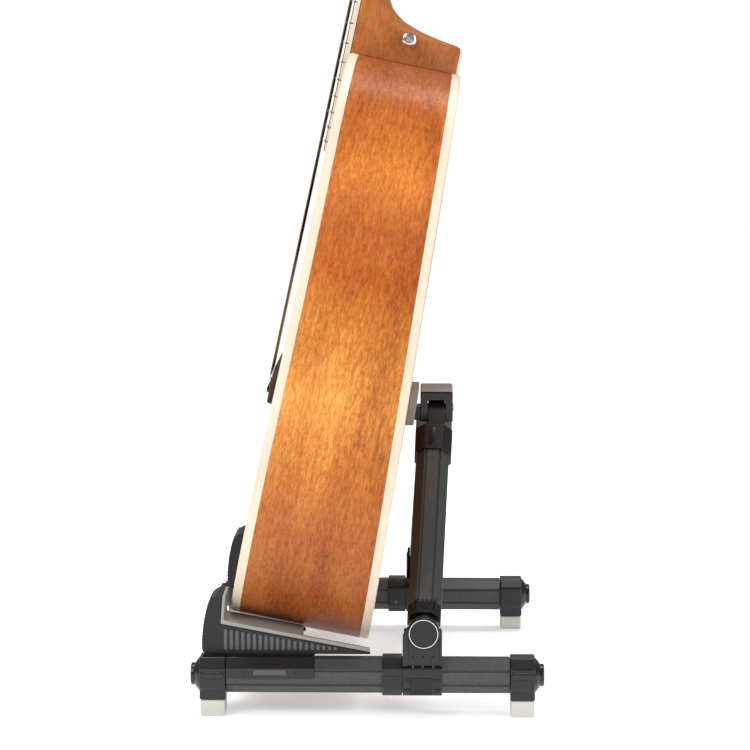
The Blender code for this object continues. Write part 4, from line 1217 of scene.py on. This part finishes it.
def build_mat(word, side):
    """Rubber mat: up the lip, down the platform and on along the flange."""
    edge = 0.0004
    near, far = side * (ARM_Y[1] - edge), side * (ARM_Y[0] + edge)
    foot = LIP_FOOT + LIP_PAD + (LIP_TOP[0] - LIP_FOOT) * 0.13
    ledge = side * (ARM_Y[1] - FLANGE + edge)
    tip = ARM_TIP - edge
    rest = [ramp(LIP_FOOT), ramp(PLATFORM_END), ramp(tip), ramp(tip + 0.0002, 0.0018),
        ramp(tip - 0.0012, ARM_PAD_THICK), ramp(PLATFORM_END, ARM_PAD_THICK), ramp(foot + 0.0016,
        ARM_PAD_THICK), ramp(foot + 0.0005, ARM_PAD_THICK + 0.0004), ramp(foot + 0.0001,
        ARM_PAD_THICK + 0.0014), (LIP_TOP[0] + LIP_PAD, LIP_TOP[1]), LIP_TOP]
    short = [(x, z) for x, z in rest if x < PLATFORM_END + 0.0005]
    slab = prism([(x, near, z) for x, z in rest], (0, ledge - near, 0))
    block = prism([(x, ledge - side * 0.0002, z) for x, z in short], (0, far - ledge + side * 0.0002,
        0))
    finish_piece(word + "_arm_mat", merge(slab, block), "rubber", word + "_leg", word + "_arm_pad", 0.0003)


def build_carrier(word, side):
    """Saddle over the leg tube with its ribbed lock switch and arrow marks."""
    leg = word + "_leg"
    low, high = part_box(word + "_carrier")
    half, out = TUBE / 2 + GAP, COLLAR / 2
    inner, outer = half * CORNER_FLAT, out * CORNER_FLAT
    foot = -0.0004
    outline = [(out, foot), (out, outer), (outer, out), (-outer, out), (-out, outer), (-out, foot),
        (-half, foot), (-half, inner), (-inner, half), (inner, half), (half, inner), (half, foot)]
    saddle = along_leg(outline, (low.x, high.x), side * LEG_Y)
    finish_piece(word + "_carrier_saddle", saddle, "plastic", leg, word + "_carrier", 0.0005)
    plinth = box_between((low.x, side * (LEG_Y - out + 0.0020), high.z - 0.0010), (high.x,
        side * (ARM_Y[1] + 0.0006), ARM_BOTTOM + 0.0002))
    finish_piece(word + "_carrier_plinth", plinth, "matte_plastic", leg, bevel=0.0002)
    face = side * (LEG_Y + out)
    low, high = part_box(word + "_lock_switch")
    body = word + "_switch"
    rows = [box_between((low.x, face - side * 0.0004, low.z), (high.x, face + side * 0.0004, high.z))]
    count = 18
    for i in range(count):
        x = low.x + (high.x - low.x) * (i + 0.5) / count
        rows.append(box_between((x - 0.00045, face, low.z + 0.0003), (x + 0.00045, face + side * 0.0008,
            high.z - 0.0003)))
    finish_piece(word + "_switch_slider", merge(*rows), "rib", body, word + "_lock_switch", 0.0002)
    marks = []
    middle = (low.z + high.z) / 2
    for x, way in ((low.x - 0.0075, -1.0), (high.x + 0.0075, 1.0)):
        arrow = [(x + way * 0.0018, face, middle), (x - way * 0.0010, face, middle + 0.0014),
            (x - way * 0.0010, face, middle - 0.0014)]
        marks.append(prism(arrow, (0, side * 0.00025, 0)))
    finish_piece(word + "_arrow_marks", merge(*marks), "groove", leg)


def back_plane_x(z):
    """World x of the plane that touches the arched back's middle, at a world height."""
    low, high = leaned(DEPTH_TAIL + ARCH, 0.0), leaned(DEPTH_NECK + ARCH, BODY_LENGTH)
    return low[0] + (high[0] - low[0]) * (z - low[1]) / (high[1] - low[1])


def build_head():
    """Channel over both tongues, its pins, the top pad and the tilted back pad."""
    low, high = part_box("head_top_pad")
    x0, y0, x1, y1 = low.x, low.y, high.x, high.y
    z1 = low.z - GAP
    z0 = z1 - HEAD_TALL
    s0, s1, roof = HEAD_SLOT
    outline = [(x0, z0), (x0, z1), (x1, z1), (x1, z0), (s1, z0), (s1, roof), (s0, roof), (s0, z0)]
    channel = prism([(x, y0, z) for x, z in outline], (0, y1 - y0, 0))
    finish_piece("head_channel", channel, "plastic", "stand_head", "head", 0.0007)
    pad = box((x0, y0, low.z), (x1, y1, high.z))
    finish_piece("head_cushion", pad, "rubber", "stand_head", "head_top_pad", 0.0014)
    for word, _ in SIDES:
        pin_low, pin_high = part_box(word + "_head_pin")
        middle = (pin_low + pin_high) / 2
        length = pin_high.x - pin_low.x
        radius = (pin_high.z - pin_low.z) / 2
        pin = turned([(0.0, length), (radius - 0.0006, length), (radius, length - 0.0006), (radius,
            0.0), (0.0, 0.0)], (pin_low.x, middle.y, middle.z), (1, 0, 0), 32)
        finish_piece(word + "_head_rivet", pin, "chrome", "stand_head", word + "_head_pin")
    corners = []
    bottom, top = BACK_PAD_Z
    for reach, z in ((0.0, bottom), (BACK_PAD, bottom), (BACK_PAD, top), (0.0, top)):
        corners.append((back_plane_x(z) + reach + GAP * 1.2, -0.030, z))
    finish_piece("back_cushion", prism(corners, (0, 0.060, 0)), "rubber", "stand_head", "back_pad", 0.0010)
    bridge = []
    for z in (z0 + 0.0004, z0 + 0.012):
        bridge.append((back_plane_x(z) + BACK_PAD + GAP * 2.4, -0.012, z))
    bridge += [(x0 + 0.001, -0.012, z0 + 0.012), (x0 + 0.001, -0.012, z0 + 0.0004)]
    finish_piece("pad_mount", prism(bridge, (0, 0.024, 0)), "plastic", "stand_head", bevel=0.0006)


# ---- set ------------------------------------------------------------------------
def build_stage():
    mesh = bpy.data.meshes.new("floor")
    bm = bmesh.new()
    spots = ((-1, -1), (1, -1), (1, 1), (-1, 1))
    corners = [bm.verts.new((FLOOR_HALF * x, FLOOR_HALF * y, 0.0)) for x, y in spots]
    bm.faces.new(corners)
    bm.to_mesh(mesh)
    bm.free()
    floor = bpy.data.objects.new("floor", mesh)
    bpy.context.scene.collection.objects.link(floor)
    paint = Shader("pale_floor", rough=0.80, specular=0.1)
    shade = paint.noise(paint.place(), 3.0, 2.0)
    paint.colour(paint.mix(shade, (0.86, 0.86, 0.86), (0.88, 0.88, 0.88)))
    paint.shader.inputs["Emission Color"].default_value = (1.0, 1.0, 1.0, 1.0)
    paint.shader.inputs["Emission Strength"].default_value = FLOOR_GLOW
    floor.data.materials.append(paint.material)


def add_light(name, place, target, size, power, colour=(1.0, 1.0, 1.0)):
    lamp = bpy.data.lights.new(name, "AREA")
    lamp.shape = "RECTANGLE"
    lamp.size, lamp.size_y = size
    lamp.energy = power
    lamp.color = colour
    holder = bpy.data.objects.new(name, lamp)
    holder.location = place
    holder.rotation_euler = (Vector(target) - Vector(place)).to_track_quat("-Z", "Y").to_euler()
    bpy.context.scene.collection.objects.link(holder)


def build_lights():
    add_light("key", (-1.3, -1.9, 1.9), (0, 0, 0.35), (1.1, 1.1), 34)
    add_light("fill", (1.8, -1.9, 1.0), (0, 0, 0.30), (0.5, 1.8), 16)
    add_light("top", (0.0, 0.3, 2.6), (0, 0, 0.3), (2.0, 1.0), 44)
    world = bpy.data.worlds.new("studio")
    bpy.context.scene.world = world
    world.use_nodes = True
    tree = world.node_tree
    sky = tree.nodes["Background"]
    sky.inputs[0].default_value = (1.0, 1.0, 1.0, 1.0)
    path = tree.nodes.new("ShaderNodeLightPath")
    seen = tree.nodes.new("ShaderNodeMath")
    seen.operation = "MULTIPLY_ADD"
    seen.inputs[1].default_value = SKY_IN_GLOSS
    seen.inputs[2].default_value = SKY
    tree.links.new(path.outputs["Is Glossy Ray"], seen.inputs[0])
    lift = tree.nodes.new("ShaderNodeMath")
    lift.operation = "MULTIPLY_ADD"
    lift.inputs[1].default_value = SKY_SEEN
    tree.links.new(path.outputs["Is Camera Ray"], lift.inputs[0])
    tree.links.new(seen.outputs[0], lift.inputs[2])
    tree.links.new(lift.outputs[0], sky.inputs[1])


def build_camera():
    bpy.context.scene.view_settings.view_transform = "Standard"
    lens = bpy.data.cameras.new("camera")
    lens.lens = CAMERA_LENS
    lens.sensor_width = SENSOR
    camera = bpy.data.objects.new("camera", lens)
    camera.location = CAMERA_PLACE
    camera.rotation_euler = Vector(CAMERA_LOOK).to_track_quat("-Z", "Y").to_euler()
    bpy.context.scene.collection.objects.link(camera)
    bpy.context.scene.camera = camera


build_body()
build_neck()
build_fingerboard()
build_bridge()
build_strings()
build_tuners()
build_hardware()
build_head()
for word, side in SIDES:
    build_leg(word, side)
    build_arm(word, side)
    build_upright(word, side)
build_stage()
build_lights()
build_camera()
